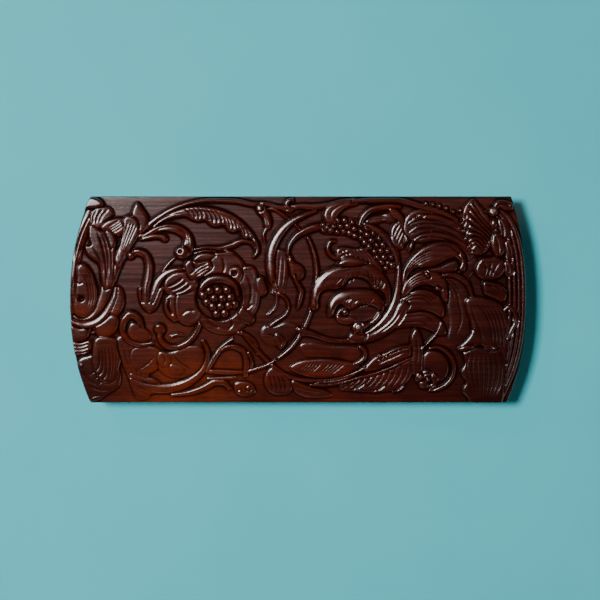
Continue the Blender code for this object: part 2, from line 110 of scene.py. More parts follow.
def closed_curve(outline):
    """Places on a smooth closed curve through the outline's points."""
    turns = np.vstack((outline[-2:], outline, outline[:3]))
    reach = np.concatenate(([0.0], np.cumsum(np.linalg.norm(np.diff(turns, axis=0), axis=1))))
    return smooth_curve(turns, np.linspace(reach[2], reach[-3], 12 * len(outline)) / reach[-1])


def line_and_normal(points, count):
    """Places along a smooth curve, and the direction to its left at each."""
    line = smooth_curve(points, np.linspace(0, 1, count))
    tangent = np.gradient(line, axis=0)
    tangent /= np.linalg.norm(tangent, axis=1)[:, None] + 1e-9
    return line, np.stack((-tangent[:, 1], tangent[:, 0]), axis=1)


def curve_length(points):
    """The length of the straight lines between the points."""
    return np.linalg.norm(np.diff(np.array(points, float), axis=0), axis=1).sum()


def running_mean(field, cells):
    """The field averaged over a square of 2 * cells + 1, one direction after the other."""
    for axis in (0, 1):
        pad = [(0, 0), (0, 0)]
        pad[axis] = (cells + 1, cells)
        total = np.cumsum(np.pad(field, pad, mode="edge"), axis=axis)
        size = field.shape[axis]
        late = np.take(total, np.arange(2 * cells + 1, 2 * cells + 1 + size), axis=axis)
        early = np.take(total, np.arange(size), axis=axis)
        field = (late - early) / (2 * cells + 1)
    return field


def softened(field, sigma):
    """A near-Gaussian blur, from three running means. sigma is in millimetres."""
    cells = max(1, int(round(sigma / PITCH)))
    for _ in range(3):
        field = running_mean(field, cells)
    return field


class Carving:
    """The height field, and the cuts that shape it. Later pieces lie on earlier ones."""

    def __init__(self):
        self.columns = int(2 * FIELD_X / PITCH) + 1
        self.rows = int(2 * FIELD_Y / PITCH) + 1
        self.height = np.zeros((self.rows, self.columns))

    def splat(self, x, y, z, margin):
        """Samples gathered on the grid, highest first, with the slices of the field that they cover."""
        column = np.rint((x + FIELD_X) / PITCH).astype(int).ravel()
        row = np.rint((y + FIELD_Y) / PITCH).astype(int).ravel()
        z = np.broadcast_to(z, x.shape).ravel()
        inside = (column >= 0) & (column < self.columns) & (row >= 0) & (row < self.rows)
        column, row, z = column[inside], row[inside], z[inside]
        if not len(z):
            return None, None
        left, right = max(column.min() - margin, 0), min(column.max() + margin + 1, self.columns)
        low, high = max(row.min() - margin, 0), min(row.max() + margin + 1, self.rows)
        patch = np.full((high - low, right - left), EMPTY)
        np.maximum.at(patch, (row - low, column - left), z)
        return patch, self.height[low:high, left:right]

    def lay(self, x, y, z, trench=TRENCH, reach=TRENCH_REACH, blend=False):
        """Puts a sampled surface on the field, with a trench cut round it."""
        patch, around = self.splat(x, y, z, int(3 * reach / PITCH) + 2)
        if patch is not None:
            self.settle(patch, around, trench, reach, blend)

    def settle(self, patch, around, trench, reach, blend):
        """Sets a patch into the field: in place of what is there, or with blend only where it is higher."""
        covered = patch > EMPTY
        if trench:
            cells = max(1, int(reach / PITCH))
            ring = running_mean(running_mean(covered.astype(float), cells), cells)
            around -= np.where(covered, 0, 2 * trench * ring)
            np.maximum(around, DEEPEST, out=around)
        around[covered] = np.maximum(around[covered], patch[covered]) if blend else patch[covered]

    def groove(self, points, width=1.1, depth=0.7):
        """A curved gouge line, fading at both ends."""
        along = int(curve_length(points) * 1.1 / CUT_STEP) + 4
        line, normal = line_and_normal(points, along)
        c = np.linspace(-1, 1, int(width / CUT_ACROSS) + 4)
        share = np.linspace(0, 1, along)
        place = line[:, None, :] + normal[:, None, :] * (width / 2 * c)[None, :, None]
        fade = np.clip(share / 0.2, 0, 1) * np.clip((1 - share) / 0.2, 0, 1)
        cut = depth * fade[:, None] * (1 - c**2)[None, :]
        patch, around = self.splat(place[..., 0], place[..., 1], cut, 1)
        if patch is not None:
            around -= np.maximum(patch, 0)

    def grooves(self, first, last, count, width=1.0, depth=0.6):
        """Gouge lines between two curves of as many points, spread evenly from the first to the last."""
        first, last = np.array(first, float), np.array(last, float)
        for share in np.linspace(0, 1, count):
            self.groove(first + (last - first) * share, width, depth)

    def pad(self, outline, high, base=0.2, soft=2.4, lean=0.0, toward=0.0, trench=TRENCH, blend=False,
            dish=0.0):
        """A cushion-like form inside a closed outline, with edges rounded over soft.

        lean is how much it rises per millimetre toward that direction, in degrees. dish sinks its middle.
        """
        ring = closed_curve(outline)
        spare = 3 * soft + 2
        low_x, low_y = ring.min(axis=0) - spare
        high_x, high_y = ring.max(axis=0) + spare
        rows = slice(max(int((low_y + FIELD_Y) / PITCH), 0), max(int((high_y + FIELD_Y) / PITCH), 0) + 1)
        columns = slice(max(int((low_x + FIELD_X) / PITCH), 0), max(int((high_x + FIELD_X) / PITCH), 0) + 1)
        x, y = self.xs[columns], self.ys[rows]
        inside = np.zeros((len(y), len(x)), bool)
        for (x0, y0), (x1, y1) in zip(ring[:-1], ring[1:]):
            if y0 != y1:
                spans = (y0 <= y) != (y1 <= y)
                crossing = x0 + (x1 - x0) * (y - y0) / (y1 - y0)
                inside ^= spans[:, None] & (x[None, :] < crossing[:, None])
        fullness = softened(inside.astype(float), soft / 2)
        body = np.sqrt(np.clip((fullness - RIM_FULLNESS) / (1 - RIM_FULLNESS), 0, 1))
        if dish:
            body = body * (1 - dish * np.clip((fullness - 0.8) / 0.2, 0, 1))
        middle = ring.mean(axis=0)
        a = math.radians(toward)
        slope = lean * ((x[None, :] - middle[0]) * math.cos(a) + (y[:, None] - middle[1]) * math.sin(a))
        z = base + np.maximum(high + slope, 0.4) * body
        self.settle(np.where(inside, z, EMPTY), self.height[rows, columns], trench, TRENCH_REACH, blend)

    def leaf(self, one, other, high, base=0.2, flutes=0, cut=0.5, cant=0.0, ends=(0.7, 0.6), power=3.2):
        """A leaf between two edge curves that run from its root to its tip.

        flutes run along it, cant raises the other edge, and ends are its height at root and tip.
        """
        shares = np.linspace(0, 1, 9)
        gap = np.linalg.norm(smooth_curve(one, shares) - smooth_curve(other, shares), axis=1).max()
        along = int(max(curve_length(one), curve_length(other)) * 1.15 / FINE_STEP) + 4
        across = int(gap * 1.38 / FINE_STEP) + 4
        s, t = np.meshgrid(np.linspace(0, 1, along), np.linspace(0, 1, across), indexing="ij")
        c = 2 * t - 1
        first, second = smooth_curve(one, s), smooth_curve(other, s)
        place = first + (second - first) * t[..., None]
        root, far = ends
        from_root = root + (1 - root) * np.sin(np.pi / 2 * np.clip(s / 0.35, 0, 1))
        to_tip = far + (1 - far) * np.sin(np.pi / 2 * np.clip((1 - s) / 0.3, 0, 1))
        z = base + high * (1 - np.abs(c) ** power) ** 0.5 * (1 + cant * c) * (from_root * to_tip)
        if flutes:
            f = (flutes * t) % 1
            calm = np.clip(s / 0.12, 0, 1) * np.clip((1 - s) / 0.08, 0, 1)
            z = z - cut * (1 - (2 * f - 1) ** 2) * calm
        self.lay(place[..., 0], place[..., 1], z)

    def stem(self, points, width, high, base=0.2, ridges=1, cut=0.5, ends=(0.8, 0.8), power=2.6, cant=0.0,
             trench=TRENCH, blend=False):
        """A stem along a smooth curve. width is one number, or several spread evenly along it."""
        along = int(curve_length(points) * 1.1 / FINE_STEP) + 4
        widths = np.atleast_1d(np.array(width, float))
        across = int(widths.max() / FINE_ACROSS) + 4
        share = np.linspace(0, 1, along)
        line, normal = line_and_normal(points, along)
        wide = np.interp(share, np.linspace(0, 1, len(widths)), widths)
        c = np.linspace(-1, 1, across)
        place = line[:, None, :] + normal[:, None, :] * (wide[:, None] / 2 * c[None, :])[..., None]
        root, far = ends
        from_root = root + (1 - root) * np.clip(share / 0.15, 0, 1)
        rise = from_root * (far + (1 - far) * np.clip((1 - share) / 0.15, 0, 1))
        body = (1 - np.abs(c) ** power) ** 0.5 * (1 + cant * c)
        z = base + high * rise[:, None] * body[None, :]
        if ridges > 1:
            f = (ridges * (c + 1) / 2) % 1
            z = z - (cut * (2 * f - 1) ** 2)[None, :] * rise[:, None]
        self.lay(place[..., 0], place[..., 1], z, trench=trench, blend=blend)

    def ball(self, x, y, radius, high, base=0.3, stretch=1.0, turn=0.0, trench=TRENCH,
             reach=KNOB_TRENCH_REACH,
             blend=False):
        """A rounded knob, or with stretch a long one turned by so many degrees."""
        rings, spokes = int(radius * stretch / 0.15) + 3, int(2 * math.pi * radius * stretch / 0.18) + 8
        r, a = np.meshgrid(np.linspace(0, 1, rings), np.linspace(0, 2 * math.pi, spokes), indexing="ij")
        along, across = radius * stretch * r * np.cos(a), radius * r * np.sin(a)
        c, s = math.cos(math.radians(turn)), math.sin(math.radians(turn))
        z = base + high * np.sqrt(1 - r**2)
        x, y = x + c * along - s * across, y + s * along + c * across
        self.lay(x, y, z, trench=trench, reach=reach, blend=blend)

    def pit(self, x, y, radius, depth):
        """A round hollow with a soft edge."""
        yy, xx = self.window(x, y, radius)
        distance = np.hypot(self.xs[xx] - x, self.ys[yy][:, None] - y) / radius
        self.height[yy, xx] -= depth * np.clip(1 - distance**3, 0, 1)

    def cut_line(self, x, y, length, turn, width, depth):
        """A straight gouge cut, centred on a place and turned by so many degrees."""
        yy, xx = self.window(x, y, length / 2 + width)
        c, s = math.cos(math.radians(turn)), math.sin(math.radians(turn))
        dx, dy = self.xs[xx] - x, self.ys[yy][:, None] - y
        along, across = (c * dx + s * dy) / (length / 2), (c * dy - s * dx) / (width / 2)
        self.height[yy, xx] -= depth * np.clip(1 - along**2, 0, 1) ** 0.5 * np.clip(1 - across**2, 0, 1)

    def window(self, x, y, reach):
        """The rows and columns of the field within reach of a place."""
        row = slice(max(int((y - reach + FIELD_Y) / PITCH), 0), int((y + reach + FIELD_Y) / PITCH) + 2)
        column = slice(max(int((x - reach + FIELD_X) / PITCH), 0), int((x + reach + FIELD_X) / PITCH) + 2)
        return row, column

    @property
    def xs(self):
        """The place of each column."""
        return np.linspace(-FIELD_X, FIELD_X, self.columns)

    @property
    def ys(self):
        """The place of each row."""
        return np.linspace(-FIELD_Y, FIELD_Y, self.rows)


def carve_left_end(c):
    """Rim leaf, corner knob, folded lobes, pointed leaf, tulip bud and the rolled bowl below them."""
    # rim leaf along the end
    c.leaf([(-203, -14), (-201, 12), (-199, 34), (-195, 52), (-190, 70), (-186, 79)],
           [(-196, -12), (-194, 12), (-191, 34), (-187, 50), (-181, 66), (-177, 78)], 2.6, flutes=2, cut=0.5,
           ends=(0.8, 0.9), cant=-0.2)
    c.groove([(-181, 77), (-186, 68), (-191, 57), (-195, 44), (-197, 34)], 1.6, 1.3)
    c.groove([(-185, 52), (-190, 44), (-195, 33)], 1.0, 0.7)
    c.groove([(-197, 20), (-198, 6), (-198, -8)], 1.2, 0.9)
    # folded lobes
    c.pad([(-182, 64), (-183, 72), (-180, 79), (-172, 81.5), (-165, 80.5), (-162, 74.5), (-165, 70),
           (-170, 67), (-174, 62)], 2.5, soft=1.6, lean=0.06, toward=200)
    c.grooves([(-177, 79), (-180, 72), (-180, 66)], [(-167, 79), (-172, 74), (-175, 67)], 3, 1.6, 0.8)
    c.groove([(-171, 67), (-167, 70), (-162, 74)], 1.4, 1.2)
    c.pad([(-174, 63), (-169, 68.5), (-161, 71.5), (-151, 70), (-149, 66.5), (-152, 60), (-156, 55),
           (-163, 57)], 3.6, soft=2.0, lean=0.06, toward=150)
    c.grooves([(-167, 63), (-162, 66), (-157, 69)], [(-163, 58), (-158, 61), (-153, 65)], 4, 1.2, 0.9)
    c.pad([(-190.5, 78.5), (-188.5, 84), (-183, 90), (-176, 89), (-170.5, 82.5), (-175, 80.5),
           (-183, 79.5)], 4.2, soft=2.2, lean=0.07, toward=-60)
    # small rolled leaf, its nested edge and the bowl behind its eye
    c.pad([(-196, -12), (-196, 4), (-194.5, 18), (-193.5, 30), (-190, 32), (-185, 29.5), (-180, 22),
           (-177, 12), (-176, 0), (-179, -10), (-186, -16)], 3.2, soft=2.6, lean=0.05, toward=110)
    c.grooves([(-187, 29), (-182, 21), (-179.5, 11), (-179, 1), (-181, -8)],
              [(-190, 24), (-186, 18), (-184, 10), (-183, 1), (-185, -7)], 3, 1.1, 0.8)
    c.pad([(-193.5, 31), (-188, 31), (-184, 27), (-186, 22), (-191, 21), (-194, 25)], 2.9, base=0.5,
          soft=2.0, lean=0.22, toward=-45, trench=0, blend=True)
    c.groove([(-196, 16), (-192, 13.5), (-188, 15)], 1.6, 0.7)
    c.pit(-190.5, 1.0, 3.6, 3.0)
    # broad stem that carries the pointed leaf and the tulip
    c.leaf([(-197, -15), (-189, -17), (-181, -12), (-176, 0), (-172, 15), (-167, 30), (-158, 46),
            (-147, 60)], [(-193, -18), (-184, -19), (-174, -15), (-167, -3), (-161, 12), (-155, 28),
                          (-148, 42), (-139, 57)], 3.0, base=0.1, ends=(0.6, 0.9), power=3.6)
    # pointed leaf with two tips
    c.pad([(-182.5, 66), (-184, 58), (-183, 51), (-181.5, 47.5), (-186.5, 47.5), (-186, 41), (-181, 35.5),
           (-175, 31), (-173, 20), (-169, 8), (-163, 10), (-161, 28), (-160, 42), (-161, 52), (-165, 60),
           (-172, 60)], 4.1, base=0.3, soft=2.2, lean=0.05, toward=165)
    c.stem([(-181, 64), (-180, 54), (-178, 44), (-176, 35)], (2, 6, 6, 2), 3.5, base=0.5, cant=0.36,
           power=3.4, trench=0, blend=True)
    c.groove([(-181.5, 47.5), (-177, 41), (-172, 31), (-170, 20)], 1.3, 0.8)
    c.groove([(-177, 61), (-173, 50), (-170, 38), (-168, 22), (-168, 10)], 1.5, 1.1)
    c.groove([(-172, 58), (-168.5, 49), (-166.5, 36), (-166, 20)], 1.3, 0.9)
    c.groove([(-168, 60), (-165, 50), (-163.5, 38), (-163.5, 20)], 1.3, 0.9)
    c.pad([(-169, 61), (-166.5, 50), (-164, 44), (-160.5, 46), (-160, 53), (-164, 60)], 3.6, base=0.8,
          soft=1.6, trench=0.5)
    # tulip bud on its fluted cup
    c.pad([(-142, 85.5), (-145.5, 79), (-146.5, 73), (-144, 66), (-138, 57), (-132, 64), (-131.5, 71),
           (-136, 79)], 4.3, soft=2.2, lean=0.06, toward=170)
    c.pad([(-152.5, 72.5), (-148, 74), (-144, 72.5), (-141, 70), (-139, 64), (-143, 55), (-151, 40),
           (-158, 27), (-161, 32), (-157, 46), (-154, 60)], 3.9, base=0.4, soft=1.8, lean=0.03, toward=170)
    c.grooves([(-149, 68), (-152, 58), (-156, 44), (-159, 34)],
              [(-141, 66), (-145, 57), (-151, 44), (-156, 34)], 4, 1.5, 0.9)
    # lobes outside the bowl, then its bright rim
    c.pad([(-167, -10), (-163, 1), (-160, 12), (-156, 11), (-152.5, 3), (-153, -6), (-157, -13),
           (-163, -16)], 2.6, soft=2.4)
    c.pad([(-181, -22), (-172, -19), (-163, -13), (-158, -16), (-158, -24), (-162, -30), (-171, -33.5),
           (-177, -31), (-178, -27)], 2.7, soft=2.6, lean=0.03, toward=60)
    c.pad([(-200, -22), (-192, -25), (-185, -25), (-183, -29), (-186, -35), (-193, -37), (-200, -38)], 2.6,
          soft=2.4)
    c.ball(-180.5, -27, 3.2, 2.6)
    c.pit(-180.5, -27, 2.1, 3.0)
    c.stem([(-200, -18), (-193, -21), (-185, -22), (-177, -19.5), (-170, -13.5), (-165, -5), (-161.5, 3),
            (-160, 11)], (4, 5.5, 6.5, 7, 7, 6, 5, 3.5), 3.3, base=0.5, power=2.8, cant=-0.3)
    c.groove([(-198, -15.5), (-189, -18.2), (-180, -17), (-172, -10), (-167, -2), (-164, 6)], 1.2, 1.0)
    # flutes at the edge and the broad hanging leaf
    c.pad([(-200, -38), (-190, -37.5), (-182, -36), (-181, -42), (-184, -47), (-191, -49), (-198, -48)],
          2.4, soft=1.6)
    c.grooves([(-198, -41), (-190, -41), (-184, -39)], [(-197, -47), (-190, -47), (-183, -45)], 3, 1.1, 1.0)
    c.pad([(-183, -49), (-192, -52), (-196, -62), (-190, -76), (-184, -90), (-176, -88.5), (-166, -82),
           (-158.5, -77), (-156, -69), (-157.5, -61), (-162, -52), (-172, -46)], 2.2, soft=3.0)
    c.ball(-190, -58, 2.4, 2.6, blend=True, trench=0.2)
    c.pad([(-178, -34), (-181, -46), (-181, -58), (-178, -66), (-170, -74), (-162, -72), (-158, -62),
           (-155, -50), (-155, -38), (-164, -33)], 3.0, base=0.4, soft=2.6)
    c.grooves([(-175, -42), (-174, -52), (-176, -61), (-183, -66)],
              [(-169, -42), (-168.5, -54), (-169, -66), (-176, -76)], 3, 1.3, 0.8)
    c.grooves([(-166, -42), (-164.5, -56), (-166, -70)], [(-160, -42), (-159.5, -54), (-161, -68)], 3, 1.2,
              0.8)
    c.groove([(-186, -74), (-179, -78), (-170, -80), (-163, -78)], 1.8, 0.5)
    c.groove([(-190, -62), (-184, -70), (-176, -76)], 1.8, 0.5)
    c.groove([(-184, -87), (-178, -85), (-171, -84)], 1.4, 0.6)


def carve_upper_left(c):
    """The long top stems, the feathered leaf, the snail scroll and the forked scroll."""
    c.stem([(-141, 55), (-133, 64), (-122, 72.5), (-110, 79.5), (-96, 84.5), (-82, 87), (-66, 87),
            (-52, 86), (-40, 83.5), (-28, 83.5), (-17, 81), (-6, 77.5)], (5, 4.6, 4, 3.6, 4, 4.6, 4, 3.4),
           2.6, cant=-0.1)
    c.pad([(-138, 55), (-130, 62.5), (-121, 70.5), (-112, 76), (-100, 80.5), (-88, 82), (-75, 80.5),
           (-62, 76.5), (-52, 70.5), (-44, 63), (-38, 55), (-35.5, 46), (-37.5, 41), (-39.5, 46), (-42, 53),
           (-46, 53), (-50, 55), (-51.5, 60.5), (-56, 58.5), (-62, 60.5), (-65, 65), (-71, 63.5),
           (-78, 65.5), (-81, 69), (-87, 68), (-93, 69.5), (-97, 72), (-106, 72), (-114, 70), (-123, 65.5),
           (-131, 60)], 3.5, soft=2.2, lean=0.04, toward=60)
    c.groove([(-124, 70), (-112, 74), (-100, 75.5)], 1.2, 0.5)
    for first, last, count in (
        ([(-100, 79.5), (-95.5, 75.5), (-93.5, 70)], [(-88, 80), (-84, 75), (-83.5, 70)], 4),
        ([(-85, 79.5), (-80, 74), (-78, 67)], [(-73, 78), (-68, 72), (-66.5, 66)], 4),
        ([(-69, 76.5), (-64.5, 70.5), (-62.5, 62.5)], [(-60, 73), (-55, 66.5), (-53, 60.5)], 4),
        ([(-56, 70), (-52, 64), (-49.5, 56)], [(-47, 63), (-43.5, 58), (-42, 54)], 3),
    ):
        c.grooves(first, last, count, 1.9, 0.75)
    c.stem([(-40, 54), (-36.5, 48), (-36, 42), (-39.5, 36.5)], (3, 4, 3.5, 2), 3.6, base=0.5)
    # stem below the feathered leaf, ending in a spindle
    c.stem([(-93, 43.5), (-80, 45.5), (-68, 45), (-58, 47.5), (-50, 51), (-42, 50), (-38, 45)],
           (2.2, 2.4, 3, 5, 5.4, 3.4, 2), 2.8)
    c.stem([(-66, 43.5), (-58, 40.5), (-51, 34), (-46, 26)], (2, 2.6, 2.8, 2), 1.9)
    c.stem([(-92, 40), (-82, 42.5), (-72, 42)], (1.6, 2, 1.6), 1.4)
    # lens leaf and the snail scroll
    c.pad([(-141, 52), (-132, 56.5), (-123, 57.5), (-116, 56), (-114, 52.5), (-117.5, 50), (-121.5, 53),
           (-130, 52.5)], 3.0, soft=1.6)
    c.pad([(-140, 53), (-131, 61), (-121, 65.5), (-110, 66.5), (-102, 64), (-96, 59.5), (-92, 52),
           (-91.5, 44), (-96, 37), (-103, 35), (-108, 39), (-107, 45), (-101.5, 48), (-101, 52.5),
           (-106, 57), (-113, 59.5), (-121, 59.5), (-130, 56)], 3.6, soft=2.4, lean=0.03, toward=60)
    c.groove([(-130, 57.5), (-121, 62), (-110, 63.2), (-102, 60.5), (-96.5, 54.5), (-95, 47)], 1.5, 1.0)
    c.grooves([(-110, 59.5), (-104, 56), (-100, 50)], [(-105, 62), (-99.5, 57), (-97, 49)], 3, 1.3, 1.0)
    c.ball(-101.5, 41, 5.6, 4.3, base=0.4, stretch=1.25, turn=8)
    c.pit(-103.6, 42, 2.2, 1.9)
    c.stem([(-108, 37), (-114, 31), (-119, 24), (-122, 18)], (2.2, 2.6, 2.4, 2), 1.9)
    # forked scroll
    c.pad([(-139, 12), (-139.5, 0), (-136, -7.5), (-130, -12), (-124.5, -8), (-120.5, 1), (-118, 12),
           (-124, 9), (-128.5, 3), (-133, 8)], 2.6, soft=2.4)
    c.stem([(-130, -3), (-127, 6), (-123.5, 15), (-117, 22), (-108, 26), (-99, 27)], (5, 6.5, 7, 6.5, 5, 3),
           3.1, cant=-0.26)
    c.stem([(-148, 38.5), (-141, 41.5), (-134.5, 39), (-131, 31), (-131.5, 21), (-133.5, 10), (-134, -3)],
           (5, 6, 7, 7.5, 7.5, 7.5, 6), 3.2, cant=0.26)
    c.groove([(-132, 36), (-129.5, 29), (-130, 20), (-132, 10), (-132, 0)], 1.1, 0.7)
    c.ball(-147, 38.5, 3.6, 4.0)


def carve_flower(c):
    """Ruffled petals round a cup of berries, and the leaves below it."""
    c.pad([(-90, -8), (-87, -19), (-78, -27), (-66, -30.5), (-53, -28.5), (-45, -20), (-50, -8), (-70, -2)],
          2.0, soft=3.4, dish=0.3)
    c.groove([(-80, -16), (-76, -22), (-68, -25)], 2.2, 0.7)
    c.groove([(-60, -16), (-58, -22), (-62, -27)], 2.0, 0.7)
    c.pad([(-108, 5), (-114, 4), (-118, -5), (-114, -16), (-107, -20), (-104, -10)], 2.5, soft=1.8,
          trench=0.5)
    c.groove([(-113, 1), (-114, -6), (-110, -14)], 2.4, 1.7)
    c.pad([(-86, 12), (-97, 13), (-106, 6), (-108, -6), (-105, -19), (-95, -23), (-86, -18), (-83, -4)],
          2.8, soft=3.4, dish=0.25)
    c.groove([(-103, -14), (-97, -10), (-90, -10)], 2.2, 0.6)
    c.pad([(-52, -13), (-45, -19), (-38, -12), (-33.5, 3), (-35, 18), (-40, 29), (-48, 29), (-54, 20),
           (-50, 6)], 2.9, soft=3.4, dish=0.3, lean=0.03, toward=0)
    c.groove([(-46, 22), (-42, 12), (-42, 0), (-45, -10)], 2.4, 0.7)
    c.groove([(-52, -7), (-46, -8), (-40, -4)], 1.8, 0.8)
    c.pad([(-50, -6), (-44, -10), (-38, -16), (-41, -22), (-49, -20), (-54, -13)], 2.6, soft=2.2)
    c.pad([(-82, 18), (-85, 29), (-79, 38), (-66, 41.5), (-54, 38.5), (-48, 31), (-52, 20), (-62, 17)], 3.1,
          soft=3.2, dish=0.25)
    c.groove([(-66, 22), (-65, 30), (-67, 37)], 2.4, 0.7)
    c.pad([(-90, 21), (-99, 24.5), (-110, 23), (-118, 15), (-116.5, 6), (-108, 3.5), (-98, 5), (-88, 11)],
          3.6, soft=2.2, lean=0.03, toward=120)
    c.grooves([(-115, 11), (-108, 14), (-101, 19)], [(-110, 4.5), (-102, 7.5), (-94, 13)], 3, 2.2, 1.3)
    c.pad([(-59, 15), (-61, 22), (-58, 28), (-52, 29), (-48.5, 24), (-50, 17), (-54, 13)], 3.9, soft=1.8,
          trench=0.5)
    c.pit(-56.6, 23, 3.2, 2.2)
    c.pad([(-98, 22), (-100, 31), (-95, 35.5), (-88, 33.5), (-77, 34), (-75, 28), (-81, 22.5), (-88, 17.5),
           (-94, 17)], 4.0, soft=1.8, trench=0.5, lean=0.04, toward=130)
    c.groove([(-93, 33), (-91, 27), (-95, 22)], 2.0, 1.6)
    c.grooves([(-90, 20), (-84, 24), (-78, 27)], [(-91, 25), (-86, 29), (-79, 32)], 3, 1.4, 1.0)
    c.pad([(-93, 34), (-88, 39.5), (-80, 41), (-72, 38.5), (-76, 35), (-85, 33.5)], 3.3, soft=1.5)
    # cup with its smooth rim, then the berries
    c.ball(-69.5, 2, 20.5, 1.2, base=-0.4, trench=1.0)
    c.stem([(-86.5, 3), (-84.5, 11), (-78, 16.5), (-69, 18.2), (-60.5, 15.8), (-54.5, 10), (-53, 3)],
           (2.5, 5, 7.5, 8, 7.5, 5, 2.5), 3.3, power=2.2)
    for x, y in ((-77.8, 7.6), (-70.3, 8), (-62.4, 8), (-83.4, 3.6), (-73.8, 1), (-66.6, 1), (-59.4, 1.6),
                 (-56, -4.6),
                 (-80, -2.6), (-75, -6.4), (-68.2, -6), (-61, -5.4), (-71.5, -12.6), (-64.5, -12)):
        c.ball(x, y, 3.7, 2.9, base=0.9, trench=0.9, reach=0.5)


def carve_lower_left(c):
    """The hook, the curl below the flower, the round stem, the arch and the leaves between them."""
    # broad leaves that lie under the rest
    c.pad([(-158, -33), (-157, -50), (-152, -62), (-147, -76), (-142, -87), (-132, -87), (-130, -74),
           (-133, -60), (-136, -46), (-140, -36), (-149, -31)], 1.7, soft=3.4)
    c.grooves([(-154, -38), (-151, -52), (-145, -66), (-141, -82)],
              [(-144, -38), (-142, -52), (-138, -66), (-136, -82)], 3, 1.8, 0.55)
    c.pad([(-146, -44), (-148, -52), (-144, -61), (-135, -66), (-125, -62), (-120, -54), (-122, -44),
           (-134, -41)], 2.4, soft=3.0, dish=0.2)
    c.groove([(-141, -62), (-133, -57), (-126, -50)], 1.6, 0.6)
    c.pad([(-122, -48), (-110, -46), (-96, -41), (-86, -42), (-82, -52), (-89, -63), (-104, -69),
           (-117, -66),
           (-124, -58)], 1.7, soft=3.0)
    c.pad([(-122, -46), (-115, -47), (-111, -52), (-113, -58), (-120, -60), (-124, -54)], 2.6, soft=1.8)
    c.groove([(-120, -49), (-117, -53), (-119, -58)], 1.2, 0.7)
    c.pad([(-113, -57), (-106, -58), (-99, -63), (-103, -67), (-112, -65)], 2.6, soft=1.6)
    c.groove([(-110, -49), (-103, -56), (-93, -62)], 1.6, 0.8)
    c.pad([(-148, -64), (-138, -68), (-126, -70), (-120, -76), (-128, -83), (-141, -80)], 2.3, soft=2.6)
    c.groove([(-146, -66), (-136, -72), (-124, -77)], 1.4, 0.8)
    # hook
    c.pad([(-146, -20), (-137, -24), (-129, -32), (-134, -38), (-144, -38), (-150, -31)], 2.2, soft=2.8)
    c.stem([(-136.5, -25), (-140, -17), (-147, -13.5), (-152.5, -18.5), (-154, -28), (-149, -36),
            (-139, -40), (-127, -38)], (3, 6, 7.5, 6, 5, 4.5, 4, 2.5), 3.3, cant=-0.1)
    # round stem, the curl that hangs into it and the small leaf below
    c.stem([(-148, -70), (-136, -76), (-121, -78.5), (-107, -77), (-95, -72), (-85.5, -64), (-80.5, -54),
            (-80, -44), (-84, -36)], (3, 6, 8, 8, 7.5, 6, 4.5, 3.5, 2.5), 2.9)
    c.groove([(-132, -74), (-118, -76), (-105, -73.5), (-94, -68)], 1.3, 0.5)
    c.stem([(-121, -27), (-121.5, -34), (-116, -40.5), (-107, -42), (-98, -38.5), (-91, -31), (-86.5, -22),
            (-84, -14)], (4, 4.5, 4.5, 4.5, 4.5, 4.5, 4, 3), 3.0)
    c.pad([(-126, -27), (-125, -22.5), (-120, -21.5), (-116.5, -25), (-118, -30), (-122, -31.5)], 3.9,
          soft=1.6)
    c.stem([(-112, -33), (-107, -31), (-100, -31)], (2, 2.4, 1.8), 1.6)
    c.ball(-83, -17, 2.8, 3.6)
    c.stem([(-112, -84), (-96, -82), (-83, -78), (-73, -73), (-65, -73.5), (-60, -79)],
           (2, 3.2, 4.4, 5.5, 5.5, 3), 2.7)
    c.groove([(-88, -80), (-78, -75.5), (-69, -72)], 1.0, 0.5)
    # arch and the stems inside it
    c.stem([(-80, -70), (-68, -69.5), (-54, -68.5)], (2, 2.4, 2), 1.5)
    c.stem([(-81, -63), (-70, -63.5), (-58, -64), (-49, -64)], (3, 4, 4, 2.6), 2.5, ridges=2)
    c.stem([(-81, -64), (-76, -55), (-71, -47), (-64, -39.5), (-57, -34)], (3, 4, 4, 3.4, 2), 2.7)
    c.stem([(-70, -46), (-63, -42), (-54, -42), (-48, -46), (-45.5, -55), (-47, -68)],
           (2.4, 3.4, 4.4, 5, 5, 3.4), 2.5)
    c.stem([(-44, -46), (-41, -55), (-42.5, -64)], (2, 3, 2.4), 2.3)
    c.pad([(-56, -74), (-49, -72), (-40, -75), (-38, -82), (-47, -85), (-55, -82)], 2.2, soft=1.8)
    c.grooves([(-54, -76), (-53, -82)], [(-43, -76), (-43, -83)], 4, 1.1, 0.7)
    c.ball(-51.5, -81.5, 2.2, 2.8)
    c.ball(-44, -78, 2.6, 2.8)
    c.stem([(-36, -48), (-38, -38), (-46, -31), (-56, -28)], (2, 3, 3, 2), 1.9)


